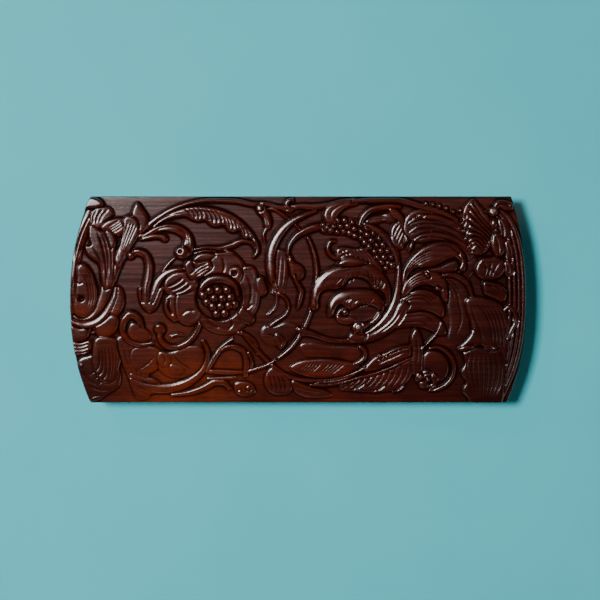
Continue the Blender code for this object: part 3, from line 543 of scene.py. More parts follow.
def carve_middle(c):
    """Upright scrolls between the flower and the big spiral, and the long stems that pass below them."""
    c.stem([(-30, 84), (-20, 81.5), (-10, 80.5), (2, 82), (14, 81.5), (26, 83), (38, 86), (50, 87.5)],
           (3, 3.6, 4, 5, 5.5, 5, 4.5, 3.5), 2.4)
    c.stem([(-4, 87.5), (-8, 87), (-10.5, 84), (-9, 80.5), (-4, 79)], (3.5, 4.2, 4.4, 4, 3.5), 3.2)
    c.stem([(-30, 80), (-20, 78.5), (-12, 73), (-4, 67), (2, 60)], (1.6, 2.4, 2.8, 2.4, 1.4), 1.6)
    c.pad([(-37, 82), (-36, 76), (-31, 70.5), (-29.5, 63), (-26.5, 61), (-23.5, 66), (-24, 72), (-27, 78),
           (-31, 83)], 3.3, soft=1.8, lean=0.03, toward=160)
    c.groove([(-32, 75), (-28, 69), (-26.5, 64)], 1.1, 0.6)
    c.ball(-34, 80.5, 3.7, 4.2)
    c.pad([(-37, 82.5), (-34.5, 84), (-31.5, 82), (-31.5, 78), (-34, 76.5), (-37, 78.5)], 4.2, soft=1.3,
          lean=0.22, toward=-50, trench=0)
    c.stem([(-28, 63), (-30.5, 57), (-29.5, 50)], (3, 2.4, 1.4), 1.8)
    # low column behind the scrolls
    c.pad([(-19, 44), (-11, 42), (-9, 30), (-11, 15), (-14, 4), (-21, 4), (-24, 18), (-22, 34)], 1.0,
          soft=2.4)
    c.grooves([(-16, 40), (-17, 25), (-19, 8)], [(-13, 38), (-13, 25), (-15, 8)], 2, 1.2, 0.4)
    c.stem([(16, 78), (6, 74.5), (-5, 69), (-14, 61), (-20.5, 51), (-24, 40), (-24.5, 28), (-23, 17),
            (-19, 8)], (3, 4.5, 6, 7.5, 8, 8.4, 8, 6, 3), 3.4, cant=0.2)
    c.groove([(-2, 68), (-12, 60), (-18.5, 49), (-21, 38), (-21, 26)], 1.2, 0.5)
    c.stem([(-24, 6), (-16, 4.5), (-10.5, 0), (-8.5, -7), (-11.5, -13.5), (-20, -19.5), (-26, -25),
            (-28.5, -32)], (1.6, 2, 2.2, 2.4, 2.6, 3, 3, 1.8), 2.2)
    c.stem([(-22, 16), (-19, 2), (-21, -8), (-27, -14)], (2.4, 2.6, 2.4, 1.6), 1.3)
    # stem that carries the berries, ending in a curled lobe
    c.stem([(8, 55), (11.5, 47), (14.5, 37), (16, 26), (15, 12), (12.5, -4), (8.5, -17), (2, -30),
            (-6, -42), (-18, -52)], (3, 3.6, 4, 4, 4, 4, 4, 3.6, 3.6, 2.6), 2.6, cant=0.1)
    c.stem([(-6, 33), (-9, 40), (-7.5, 48), (-2, 55), (6, 60), (14, 63), (22, 64.5)],
           (2.6, 2.4, 3.2, 5, 6.4, 6.8, 5), 3.3, cant=0.12)
    c.pad([(-9.5, 36), (-8, 28), (-6, 20), (-2.5, 16.5), (3.5, 18), (5.5, 24), (2.5, 29.5), (-3.5, 32.5),
           (-7, 39)], 3.6, soft=1.9, lean=0.05, toward=150)
    c.stem([(-4, 22), (-1, 14), (2.5, 8), (1.5, 0), (-1, -9)], (3, 3.4, 4.6, 4.6, 1.6), 3.2, cant=-0.15)
    c.pad([(-36, 19), (-32.5, 20.5), (-29, 14), (-27.5, 6), (-31.5, 2.5), (-36, 6), (-37.5, 13)], 3.2,
          soft=1.7)
    # low leaves between the long stems
    c.pad([(-30, -24), (-22, -24), (-10, -20), (0, -24), (-6, -34), (-16, -40), (-27, -40), (-33, -32)],
          1.0, soft=2.6)
    c.groove([(-28, -30), (-20, -33), (-14, -38)], 1.4, 0.7)
    c.pad([(-20, -30), (-14, -32), (-11, -38), (-15, -44), (-20, -38)], 2.4, soft=1.6)
    c.groove([(-18, -33), (-15, -37), (-16, -42)], 1.2, 0.8)
    c.stem([(-50, -28), (-42, -38), (-34, -47), (-24, -57), (-12, -66), (0, -70), (14, -71.5), (28, -71),
            (42, -68), (54, -62.5), (63, -56), (68, -51)],
           (2, 3, 3.4, 3.6, 3.6, 3.4, 3.4, 3.4, 3.6, 3.4, 3, 2), 2.4, cant=0.1)
    c.stem([(-46, -64), (-37, -61), (-27, -57.5), (-20, -53)], (2, 3, 2.6, 1.6), 2.3)


def carve_berries(c):
    """A curved bunch of berries in a smooth sheath, and the curled leaf inside it."""
    c.pad([(21, 66), (33, 71), (48, 71.5), (62, 66), (76, 56), (86, 42), (88, 30), (80, 23), (70, 34),
           (60, 46), (46, 55), (32, 57), (20, 59)], 0.9, soft=2.2)
    middle = [(22, 63), (34, 64.5), (47, 63), (59, 57), (69, 46.5), (76, 36), (80.5, 26)]
    line, normal = line_and_normal(middle, 200)
    reach = np.interp(np.linspace(0, 1, 200), (0, 0.15, 0.5, 0.85, 1), (2, 4.6, 5.6, 5, 2.8))
    for row, offset in enumerate((-1, 0, 1)):
        for k in range(13 - row % 2):
            i = int((k + 0.5 * (row % 2)) / 12.5 * 199)
            x, y = line[i] + normal[i] * reach[i] * (offset + 0.12 * math.sin(2.3 * k + row))
            size = 2.75 + 0.35 * math.sin(1.9 * k + 1.7 * row)
            c.ball(x, y, size, 3.1, base=0.8, trench=0.5, reach=0.45)
    c.stem([(56, 67), (66, 62.5), (76, 54.5), (83.5, 44), (87, 32), (87, 24)], (3, 5.5, 7, 7, 5, 2.5), 3.0,
           cant=-0.08)
    # curled leaf tip, and the crinkled leaf behind the spiral
    c.pad([(34, 36), (33, 44), (42, 46), (50, 44.5), (58, 45.5), (64, 39), (71, 32), (74, 24), (60, 30),
           (44, 32)], 2.2, soft=2.4)
    c.grooves([(36, 43), (41, 39), (47, 34)], [(56, 45), (60, 40), (66, 33)], 7, 1.2, 0.5)
    c.stem([(33, 51), (28, 50.5), (25.8, 46), (27, 40.5), (31, 37), (37, 35.5)],
           (2.4, 3.2, 3.6, 3.6, 3.6, 2.5), 2.9)
    c.grooves([(35, 40), (39, 42.5), (43, 43)], [(38, 34), (44, 37), (50, 37)], 3, 1.3, 0.8)


def carve_spiral_leaf(c):
    """The acanthus that rolls up into two thick crescents round an eye."""
    # stalk with its fine parallel ridges
    c.stem([(88, 31), (88, 20), (87, 8), (84.5, -3), (80, -12), (73.5, -20.5), (66, -26.5), (58, -31)],
           (3, 5, 6, 7, 7.5, 7, 5.5, 3), 2.5, ridges=4, cut=0.8)
    c.stem([(90, 0), (88, -8), (83, -16), (76, -24), (66, -31)], (2.4, 3, 3, 3, 2), 2.0)
    # main stem that sweeps below the spiral
    c.pad([(-2, -25), (10, -27), (22, -32), (36, -34.5), (47, -32), (50, -26), (60, -30), (72, -25),
           (82, -15), (90, -2), (97, -3), (92, -16), (84, -26), (74, -33), (60, -38), (44, -38.5),
           (28, -37.5), (12, -33), (0, -30)], 2.7, soft=2.6)
    c.groove([(14, -29), (24, -35), (38, -37)], 1.5, 0.6)
    c.groove([(70, -30), (82, -21), (90, -10)], 1.6, 0.6)
    # floor of the spiral, then the inner crescent
    c.pad([(44, -6), (52, -3), (62, -3), (71, -7), (70, -14), (62, -19), (50, -21), (40, -19), (33, -14),
           (36, -9)], 1.4, soft=2.6, dish=0.4)
    c.pad([(26, -16), (25.5, -8), (28, -1), (33.5, 4), (41, 7.6), (50, 8.8), (60, 8.4), (69, 5), (74.5, -2),
           (76, -10), (72, -14), (70.5, -9), (65, -5.6), (58, -4.5), (51, -6.5), (46, -9.5), (41, -7),
           (37, -4), (33, -8), (30, -15)], 4.3, soft=5.0, lean=0.02, toward=110)
    c.stem([(28, -14), (28.5, -6), (32, 0), (38, 4.2), (46, 6)], (3, 5.5, 6.5, 6.5, 4), 3.5, base=0.4,
           cant=-0.3, power=3.4, trench=0, blend=True)
    c.groove([(45, 2), (41.5, -1), (39.5, -6)], 2.2, 1.3)
    c.grooves([(46, 1), (43, -2), (42, -7)], [(52, 0), (49, -3), (47, -8)], 2, 1.6, 1.0)
    c.grooves([(54, 0), (53, -3.5), (50, -7)], [(65, 1), (63, -2), (58, -5.5)], 4, 1.6, 1.1)
    c.ball(41, -11.5, 3.3, 3.4, trench=0.8)
    c.pad([(33, -13), (38, -15.5), (46, -15), (51, -17), (48, -21), (39, -21.5), (33, -18)], 2.2, soft=1.8)
    # nose that closes the spiral
    c.pad([(72, -8), (73, -14), (68, -20), (60, -24.5), (57, -28), (51, -29.5), (47, -26), (48, -21.5),
           (53.5, -20), (60, -20.5), (66, -17), (69.5, -12)], 4.2, soft=3.8)
    c.ball(52.3, -25, 5.2, 4.0, base=0.5, trench=0, blend=True)
    c.pad([(49, -22.5), (52.5, -20.5), (56, -22.5), (55.5, -27), (51.5, -28.5), (48.5, -26)], 4.1, soft=1.4,
          lean=0.24, toward=-45, trench=0)
    c.pad([(46, -29), (55, -31), (60, -31), (58, -37), (50, -38.5), (43, -35)], 3.2, soft=2.2)
    # outer crescent with its shelf
    c.pad([(11.5, -10), (11, 0), (12.5, 9), (16, 16.5), (21.5, 22.5), (29, 27.5), (38, 30.5), (48, 32),
           (59, 31.5), (69, 27.5), (76, 20), (80, 10), (80.5, -1), (77, -11), (74, -14), (76, -5),
           (75.5, 4), (71, 8.5), (66, 9), (62.5, 14.5), (56.5, 18.5), (49.5, 19.5), (43.5, 17),
           (39.5, 11.5), (33, 9), (25, 8.6), (19.5, 5.5), (17.5, -1), (17.5, -9)], 4.5, soft=5.4, lean=0.02,
          toward=120)
    c.stem([(13.5, -6), (13.8, 2), (15.5, 9.5), (19.5, 16.5), (25.5, 22), (33, 26), (42, 28.5)],
           (3, 5, 7, 8, 8, 7, 4), 3.6, base=0.4, cant=-0.3, power=3.4, trench=0, blend=True)
    c.grooves([(20, 8), (23, 13), (28, 19)], [(29, 9), (33, 14), (39, 20)], 5, 1.2, 0.6)
    c.grooves([(44, 23), (41.5, 17), (40, 12)], [(54, 24), (52, 21), (50, 18.5)], 4, 1.7, 1.1)
    c.grooves([(60, 24), (61.5, 19), (62.5, 14)], [(75, 15), (73, 11), (70, 8)], 5, 2.0, 1.3)
    c.grooves([(36, 27), (48, 29), (60, 28)], [(38, 24), (48, 26), (58, 25.5)], 2, 1.1, 0.5)
    c.pad([(33, 30), (38, 35), (46, 37.5), (54, 36), (62, 32), (54, 29), (44, 28)], 3.9, soft=3.0, trench=0)


def carve_top_right(c):
    """Stems and buds between the berries and the top edge, and the hatched leaf."""
    c.pad([(26.5, 65.5), (22, 71), (22.5, 78), (28, 83.5), (38, 86.5), (52, 87.5), (52, 83.5), (45, 81.5),
           (38, 77.5), (33.5, 71.5), (32.5, 66)], 3.5, soft=2.2, lean=0.03, toward=150)
    c.groove([(28, 70), (29, 76), (36, 82), (46, 85)], 1.2, 0.5)
    c.stem([(46, 86), (60, 87), (75, 87), (90, 86.5), (104, 83), (117, 79), (129, 75), (140, 69.5)],
           (3, 4.5, 5, 5, 5, 5, 4.5, 3), 2.8)
    c.pad([(58, 68), (64, 72), (72, 74), (80, 76), (86, 73), (84, 68), (74, 68), (66, 66)], 1.6, soft=2.0)
    c.grooves([(60, 68), (68, 70), (77, 71)], [(62, 72), (70, 75), (79, 77)], 3, 1.4, 0.6)
    c.stem([(54, 66), (57.5, 73), (63, 78), (71, 80.5), (80, 81.5), (90, 81.5)], (4, 5.5, 6, 5.5, 5, 3),
           3.4, cant=0.12)
    c.pad([(96.5, 66), (88, 69), (82, 64), (80.5, 56), (82, 48), (87, 44), (91, 44), (93, 52), (97, 58)],
          2.2, soft=1.8)
    c.grooves([(82.5, 54), (85, 60), (89, 67)], [(88, 45), (91, 52), (95, 60)], 4, 1.5, 0.4)
    c.pad([(78.5, 80.5), (84, 80), (90, 75.5), (95, 68), (98, 60), (97, 52), (92.5, 48), (93, 56), (92, 63),
           (87, 69), (81, 74)], 3.4, soft=1.7, lean=0.04, toward=190)


def carve_fan(c):
    """Long fluted leaves that spring from one point and curl over to the right."""
    # plain bands behind, one above the other
    c.pad([(94, 72), (104, 79), (118, 77), (131, 72.5), (143, 66), (146, 56), (150, 46), (154, 38),
           (150, 30), (146, 40), (136, 48), (120, 52), (108, 50), (98, 52), (92, 60)], 1.7, soft=2.4)
    for first, last, count in (
        ([(97, 71), (108, 75.5), (122, 73), (137, 66)], [(97, 66), (108, 70), (122, 68), (140, 61)], 3),
        ([(98, 60), (108, 64), (122, 62), (143, 54)], [(100, 54), (110, 58), (124, 57), (146, 48)], 3),
    ):
        c.grooves(first, last, count, 1.3, 0.7)
    for points, width in (
        ([(96, 66), (104, 71.5), (116, 72.5), (129, 69.5), (141, 64)], (2, 4, 5, 4.5, 3)),
        ([(97, 58), (105, 63.5), (117, 64.5), (131, 61.5), (146, 54)], (2, 4, 5, 4.5, 3)),
        ([(99, 50), (108, 55.5), (120, 57), (133, 54), (145, 47.5), (152, 39)], (2, 4, 5, 5, 4, 3)),
    ):
        c.stem(points, width, 2.5, ridges=2, cut=0.4)
    c.ball(107, 73.5, 2.2, 3.1, stretch=1.8, turn=20)
    c.pad([(130, 20), (132, 8), (131, -6), (133, -22), (132, -36), (140, -40), (148, -32), (150, -18),
           (148, -4), (152, 8), (150, 20), (158, 30), (154, 38), (148, 32), (140, 24)], 0.8, soft=4.0)
    c.groove([(137, 12), (141, -4), (142.5, -18), (137, -33)], 2.4, 0.4)
    # hooked leaf, red and smooth inside
    c.pad([(90, 12), (90.5, 22), (95, 32), (102, 40.5), (111, 47), (122, 50.5), (133, 50), (141.5, 45),
           (146.5, 37), (147.5, 29), (144.5, 23.5), (141, 26), (141.5, 32), (138, 36.5), (131, 35),
           (122, 30.5), (112, 28), (103, 27.5), (97, 22), (93.5, 13)], 3.5, soft=2.4, lean=0.015,
          toward=100)
    c.grooves([(92, 20), (97, 30), (106, 38), (118, 43)], [(93, 15), (99, 25), (107, 32), (117, 36)], 4,
              1.2, 0.8)
    c.groove([(120, 47), (132, 46.5), (139, 41), (142.5, 34)], 1.3, 0.9)
    c.pad([(140, 41), (144.5, 38), (147, 31), (144.5, 24), (140, 26), (142, 32)], 4.0, soft=1.5)
    c.pad([(104, 26), (114, 27), (124, 29), (133, 33), (139, 34), (139, 26), (130, 23.5), (118, 23.5)], 2.4,
          soft=2.0)
    c.ball(98.6, 47, 1.9, 3.6, stretch=3.2, turn=66)
    # middle leaf with a curled tip
    c.pad([(89, 4), (92, 13), (99, 21), (107, 25.5), (116, 25.5), (124, 22.5), (129.5, 16), (131, 6),
           (129.5, -3), (126, 0), (124, 7), (119.5, 10.5), (112, 13), (104, 11), (97, 6), (92, -1)], 3.5,
          soft=2.2, lean=0.02, toward=100)
    c.grooves([(92, 9), (99, 17), (108, 21), (116, 20)], [(93, 3), (99, 9.5), (106, 14), (114, 15)], 4, 1.1,
              0.7)
    c.ball(112.5, 21.5, 1.9, 4.2, stretch=2.0, turn=-48)
    c.ball(122, 9.5, 2.2, 4.1, stretch=1.5, turn=-10)
    # leaf to the right of it, with a double rim
    c.stem([(125, 20.5), (133, 21.5), (141, 19.5), (147, 14.5), (150.5, 7), (152, 0)],
           (3, 4.6, 5.2, 5, 4, 2.5), 3.3, ridges=2)
    c.grooves([(130, 18), (136, 14), (143, 6)], [(128, 13), (133, 8), (137, 1)], 3, 1.3, 0.6)
    # lower leaves
    c.pad([(88, -2), (93, 3), (101, 7.5), (110, 8.5), (118, 6), (124.5, 0), (128, -8), (126, -16),
           (118, -12),
           (108, -9.5), (98, -11), (90, -10)], 2.9, soft=2.4)
    c.grooves([(90, 0), (100, 5.5), (112, 5.5), (124, -5)], [(90, -4), (100, 0), (110, 0), (119, -7)], 3,
              1.3, 0.8)
    c.pad([(88, -12), (98, -11.5), (109, -10.5), (119, -13.5), (127, -21), (129, -31), (122, -31),
           (115, -27), (104, -24), (93, -24.5), (85, -25)], 2.5, soft=3.0)
    c.grooves([(90, -16), (100, -15), (112, -15), (123, -25)],
              [(88, -21), (98, -20), (108, -20), (116, -26)], 2, 1.5, 0.6)
    c.stem([(125, -20), (121.5, -28), (116, -35), (107.5, -43.5)], (2, 2.6, 2.6, 1.6), 3.4, base=0.5,
           cant=0.2)


def carve_shell(c):
    """The crowded right end: beads, a ribbed shell, leafy lobes and ridges along the rounded end."""
    c.pad([(146, 82), (153, 88.5), (160, 82), (168, 71), (176, 61), (173, 53), (168, 46), (160, 39),
           (153, 40), (149, 48), (146, 58), (143.5, 69)], 2.4, soft=1.7)
    for k in range(7):
        share = k / 6
        c.stem([(171 - 8 * share, 60 - 17 * share), (161 - 6 * share, 70 - 20 * share),
                (151.5 - 3 * share, 84 - 40 * share)], (1.8, 3.2, 4.4), 3.0, base=0.5, trench=0.4)
    for x, y in ((112, 84), (118, 83.5), (124, 82), (130, 80), (136, 77), (142, 78), (145, 73), (144, 67),
                 (145.5, 60),
                 (147, 53), (150, 46.5), (153, 41)):
        c.ball(x, y, 1.9, 2.6, trench=0.5)
    c.pad([(171, 80), (173, 86), (181, 87.5), (188, 84), (188.5, 79), (181, 78)], 3.0, soft=1.6)
    c.groove([(174, 82), (180, 84), (186, 82)], 1.4, 0.9)
    # ridges along the rounded end
    outer = np.array([(177, 80), (185, 73), (191, 62), (195.5, 46), (198, 25), (198.6, 0), (197.5, -25),
                      (194, -48),
                      (188, -68), (180, -86)], float)
    for inward, width, high in ((13.5, 3.2, 2.2), (9.5, 3.4, 2.6), (5.6, 3.6, 2.8), (1.6, 4.2, 2.6)):
        c.stem(outer - np.array([inward, 0.15 * inward]), width, high, ends=(0.4, 0.5))
    c.ball(171, 77, 4.4, 4.1, trench=0.5)
    c.pad([(167, 79.5), (170, 81.5), (174.5, 80.5), (175.5, 76.5), (172.5, 73), (168, 74)], 4.1, soft=1.4,
          lean=0.24, toward=-45, trench=0)
    c.ball(171.5, 66.5, 3.8, 4.1, stretch=1.3, turn=80, trench=0.5)
    # lobes, largest over the smallest
    lobes = (
        ([(176, 71), (182, 69), (186, 62), (185, 54), (180, 53), (176, 60)], 2.6),
        ([(182, 52), (187, 48), (189, 39), (186, 34), (182, 40)], 2.6),
        ([(181, 34), (187, 31), (188.5, 23), (184, 19), (180, 25)], 2.8),
        ([(171, 58), (177, 57.5), (180.5, 50), (180.5, 41), (175.5, 37), (170.5, 41), (168.5, 50)], 3.4),
        ([(162, 16), (170, 15), (178, 12.5), (183, 5), (180, -2), (171, 1), (163, 5)], 2.6),
        ([(156, 31), (160, 36), (167, 37), (174, 37), (179.5, 33), (181, 26), (177, 20), (168, 17),
          (160, 18),
          (154.5, 24)], 3.5),
    )
    for outline, high in lobes:
        c.pad(outline, high, soft=2.2, lean=0.03, toward=140)
        top, foot = np.array(outline[0], float), np.array(outline[len(outline) // 2 + 1], float)
        c.groove([top, (top * 0.45 + foot * 0.55) + (1.5, 0.5), foot], 1.6, 0.6)
    c.grooves([(161, 34), (164, 28), (163, 20)], [(176, 33), (172, 27), (168, 19)], 3, 1.8, 0.5)
    c.grooves([(165, 13), (172, 11), (178, 7)], [(165, 8), (170, 6), (176, 2)], 2, 1.5, 0.7)
    # big drooping lobe and the fluted leaf below it
    c.pad([(144, -46), (150, -43), (158, -42), (166, -44), (176, -44), (181, -56), (181.5, -70), (176, -95),
           (160, -96), (153, -95), (149, -87), (143.5, -80), (147, -72), (142, -64), (146, -56)], 2.2,
          soft=2.8)
    c.grooves([(150, -46), (147.5, -58), (149, -70), (154, -86)],
              [(175, -48), (179, -58), (178.5, -71), (171, -87)], 8, 1.5, 0.6)
    c.pad([(146, 0), (153, 2.5), (161, 1.5), (169, -0.5), (176, -3.5), (181, -10), (184, -20), (184.5, -32),
           (185, -46), (182, -57), (178, -49), (173, -40.5), (167, -46), (160, -40), (152.5, -43),
           (146, -46.5), (139, -44), (145.5, -37), (151, -29), (150, -18), (147, -9)], 2.9, soft=3.0,
          lean=0.02, toward=30)
    c.grooves([(156, -4), (163.5, -13), (168.5, -26), (170, -39)],
              [(174, -6), (179, -17), (181.5, -31), (182.5, -47)], 5, 1.6, 0.7)
    c.groove([(151, -6), (154, -16), (159, -28), (162, -38)], 2.4, 0.6)
    c.groove([(148, -26), (155, -28), (160, -33)], 1.6, 0.5)
    c.ball(147, -42.5, 2.6, 3.6, stretch=3.0, turn=12)
    c.ball(171.5, -43, 1.9, 3.2, stretch=1.8, turn=35)
    c.stem([(179.5, -10), (184, -6.5), (189, -11), (190, -20), (186, -28), (183, -35)],
           (3, 4, 4.4, 4.4, 4, 3), 3.0)


def carve_bottom(c):
    """Feathered leaves along the bottom, the ribbon and the open scroll with a flower in it."""
    c.pad([(2, -54), (12, -52.5), (24, -52), (36, -53.5), (46, -55), (54, -58), (44, -65), (30, -68.5),
           (14, -69), (2, -66), (-8, -60)], 1.9, soft=2.6)
    c.grooves([(8, -55), (6, -58), (1, -61)], [(20, -55), (17, -59), (11, -64)], 5, 1.3, 0.5)
    c.grooves([(27, -55.5), (24, -59), (19, -63)], [(41, -56), (36, -60), (28, -66)], 5, 1.3, 0.5)
    c.pad([(10, -38.5), (28, -41), (46, -42), (55, -44), (57, -51), (50, -54), (34, -51), (16, -50.5),
           (4, -48), (2, -40)], 0.7, soft=3.0)
    c.stem([(53, -41), (57.5, -44), (58, -50), (54.5, -54.5), (49, -56.5)], (3, 4.2, 4.6, 4, 2.6), 2.9)
    # feathered spray
    c.pad([(36, -73), (50, -69.5), (64, -66), (78, -61), (90, -55.5), (99, -51.5), (101, -60), (96, -72),
           (88, -78.5), (76, -81), (62, -81.5), (48, -80.5), (36, -78)], 1.9, soft=2.2)
    c.grooves([(48, -71.5), (44, -75), (37, -78)], [(96, -56), (94, -66), (87, -77)], 10, 1.9, 0.45)
    for x, y in ((53, -77), (71, -78.5), (87, -78.5)):
        c.stem([(x - 5, y - 2.8), (x, y - 1.8), (x + 6, y + 2.4)], (1.2, 2.2, 1.4), 2.4, base=0.4)
    c.stem([(10, -75), (26, -75), (40, -72.5), (54, -68.5), (68, -65), (82, -59.5), (92, -54.5),
            (98.5, -51.5)], (2, 3, 3, 3, 3.4, 3.4, 3, 2), 3.2, cant=0.15)
    c.stem([(14, -73), (28, -72.5), (40, -70), (50, -66)], (1.6, 2.4, 2.4, 1.4), 2.2)
    c.pad([(66, -51), (76, -46.5), (88, -42), (98, -40.5), (98.5, -49), (90, -53.5), (78, -58.5),
           (66, -62.5), (58, -63)], 2.1, soft=1.8)
    c.groove([(68, -57), (80, -52), (93, -46)], 1.4, 0.7)
    c.stem([(76, -48.5), (84, -44.5), (91, -42), (98, -41)], (2, 3, 3, 2), 3.0, cant=0.15)
    c.ball(71.5, -50, 2.2, 3.6)
    c.ball(71, -54, 1.8, 2.8)
    c.ball(77.5, -50.5, 1.7, 2.6)
    # leaf tufts below the crossing stems
    c.pad([(-24, -60), (-15, -64), (-8, -70), (-6, -80), (-14, -84), (-24, -82), (-30, -74), (-29, -66)],
          2.0, soft=2.2)
    c.grooves([(-26, -65), (-24, -73), (-22, -81)], [(-15, -67), (-12, -74), (-11, -81)], 4, 1.4, 0.8)
    c.pad([(-6, -71), (4, -74.5), (14, -78), (24, -80), (30, -84), (18, -86.5), (4, -85), (-4, -80)], 1.8,
          soft=2.0)
    c.grooves([(-3, -76), (6, -79), (20, -82)], [(-3, -80), (6, -83), (18, -85)], 2, 1.3, 0.7)
    # ribbon, open scroll and flower
    c.pad([(103, -25), (107.5, -32), (109.5, -43), (109.5, -55), (107, -66), (101, -66), (99, -56),
           (99.5, -44), (98, -33)], 2.6, soft=2.2)
    c.groove([(103, -32), (104.5, -44), (103.5, -58)], 1.4, 0.6)
    c.pad([(112, -46), (121, -45), (129, -51), (132, -60), (129, -69), (122, -72), (112, -68),
           (108.5, -58)], 2.0, soft=3.0)
    c.stem([(114, -43), (122, -42), (130, -46), (135.5, -54), (136, -64), (131.5, -73), (123, -78.5),
            (114, -80)], (2.4, 3.4, 4, 4.2, 4.2, 4, 3.6, 2), 2.7)
    petals = ((112, -65.5, 4.2, 20), (119.5, -69, 3.6, -60), (105.5, -68, 3.4, 60), (110, -75, 3.6, -15),
              (118, -76, 3, 30))
    for x, y, radius, turn in petals:
        c.ball(x, y, radius, 2.8, stretch=1.35, turn=turn, trench=0.5)
        c.cut_line(x, y, radius * 1.8, turn, 1.4, 0.9)
    c.ball(113.5, -70.5, 2.4, 3.4, trench=0.4)


def remaining_depth(x, y):
    """The share of its depth that the carving keeps: toward the lower left it has worn down."""
    left = np.clip((30 - x) / 90, 0, 1) * np.clip((x + 175) / 25, 0, 1)
    low = np.clip((-18 - y) / 22, 0, 1)
    return 1 - 0.5 * left[None, :] * low[:, None]


def carve_lid():
    """The carving as it was cut, and as wear and polish have left it."""
    carving = Carving()
    for part in (carve_upper_left, carve_left_end, carve_lower_left, carve_flower, carve_middle,
                 carve_bottom,
                 carve_berries, carve_top_right, carve_fan, carve_spiral_leaf, carve_shell):
        part(carving)
    as_cut = np.clip(carving.height, DEEPEST, HIGHEST)
    return softened(as_cut, 0.25), softened(as_cut * remaining_depth(carving.xs, carving.ys), 0.25)


# --- Meshes ---


def mesh_piece(name, points, faces, material, sharp=40):
    """A smooth-shaded object from points in millimetres, with edges over sharp degrees left sharp."""
    mesh = bpy.data.meshes.new(name)
    mesh.from_pydata((np.asarray(points, float) * MM).tolist(), [], faces)
    mesh.validate()
    form = bmesh.new()
    form.from_mesh(mesh)
    bmesh.ops.recalc_face_normals(form, faces=form.faces)
    form.to_mesh(mesh)
    form.free()
    mesh.shade_smooth()
    mesh.set_sharp_from_angle(angle=math.radians(sharp))
    mesh.materials.append(material)
    piece = bpy.data.objects.new(name, mesh)
    bpy.context.scene.collection.objects.link(piece)
    return piece


def tube_faces(rings, size):
    """Faces that join rings of the same size, with a cap on each end."""
    faces = []
    for i in range(rings - 1):
        for j in range(size):
            k = (j + 1) % size
            faces.append((i * size + j, i * size + k, (i + 1) * size + k, (i + 1) * size + j))
    faces.append(tuple(range(size - 1, -1, -1)))
    faces.append(tuple(range((rings - 1) * size, rings * size)))
    return faces


def chamber_line(start_x, pitch=1.2):
    """Points and outward directions along the leather's line, and the distance along it."""
    side = GRIP_END_X - CORNER - start_x
    turn = math.pi / 2 * CORNER
    end = 2 * (SIDE_Y - CORNER)
    total = 2 * side + 2 * turn + end
    distances = np.linspace(0, total, int(total / pitch) + 1)
    points, outs = [], []
    for s in distances:
        back = total - s
        near = min(s, back)
        way = -1 if s < back else 1
        if near <= side:
            points.append((start_x + near, way * SIDE_Y))
            outs.append((0, way))
        elif near <= side + turn:
            a = (near - side) / CORNER
            points.append((GRIP_END_X - CORNER + CORNER * math.sin(a),
                           way * (SIDE_Y - CORNER + CORNER * math.cos(a))))
            outs.append((math.sin(a), way * math.cos(a)))
        else:
            points.append((GRIP_END_X, way * (total / 2 - near)))
            outs.append((1, 0))
    return np.array(points), np.array(outs), distances


def swept_band(name, line, section, material):
    """A closed band along the leather's line. section(i) gives its (outwards, height) points at point i."""
    points, outs, _ = line
    rings = []
    for i, (point, out) in enumerate(zip(points, outs)):
        ring = section(i)
        rings.append(np.column_stack((point + out * ring[:, :1], ring[:, 1])))
    size = len(rings[0])
    return mesh_piece(name, np.concatenate(rings), tube_faces(len(rings), size), material)


def domes(name, places, radius, rise, material, sides=14, rings=4):
    """Domed nail heads: each place is its point on the surface and the direction that it faces."""
    points, faces = [], []
    for point, out in places:
        point, out = np.array(point, float), np.array(out, float)
        across = np.cross(out, (0, 0, 1))
        across /= np.linalg.norm(across)
        up = np.cross(across, out)
        first = len(points)
        points.append(point - out * 0.3)
        for ring in range(rings + 1):
            a = math.pi / 2 * ring / (rings + 0.35)
            r, h = radius * math.cos(a), rise * math.sin(a)
            for k in range(sides):
                b = math.tau * k / sides
                points.append(point + out * h + (across * math.cos(b) + up * math.sin(b)) * r)
        points.append(point + out * rise)
        for k in range(sides):
            n = (k + 1) % sides
            faces.append((first, first + 1 + n, first + 1 + k))
            for ring in range(rings):
                a, b = first + 1 + ring * sides, first + 1 + (ring + 1) * sides
                faces.append((a + k, a + n, b + n, b + k))
            top = first + 1 + rings * sides
            faces.append((top + k, top + n, len(points) - 1))
    return mesh_piece(name, points, faces, material, sharp=60)


# --- Materials ---


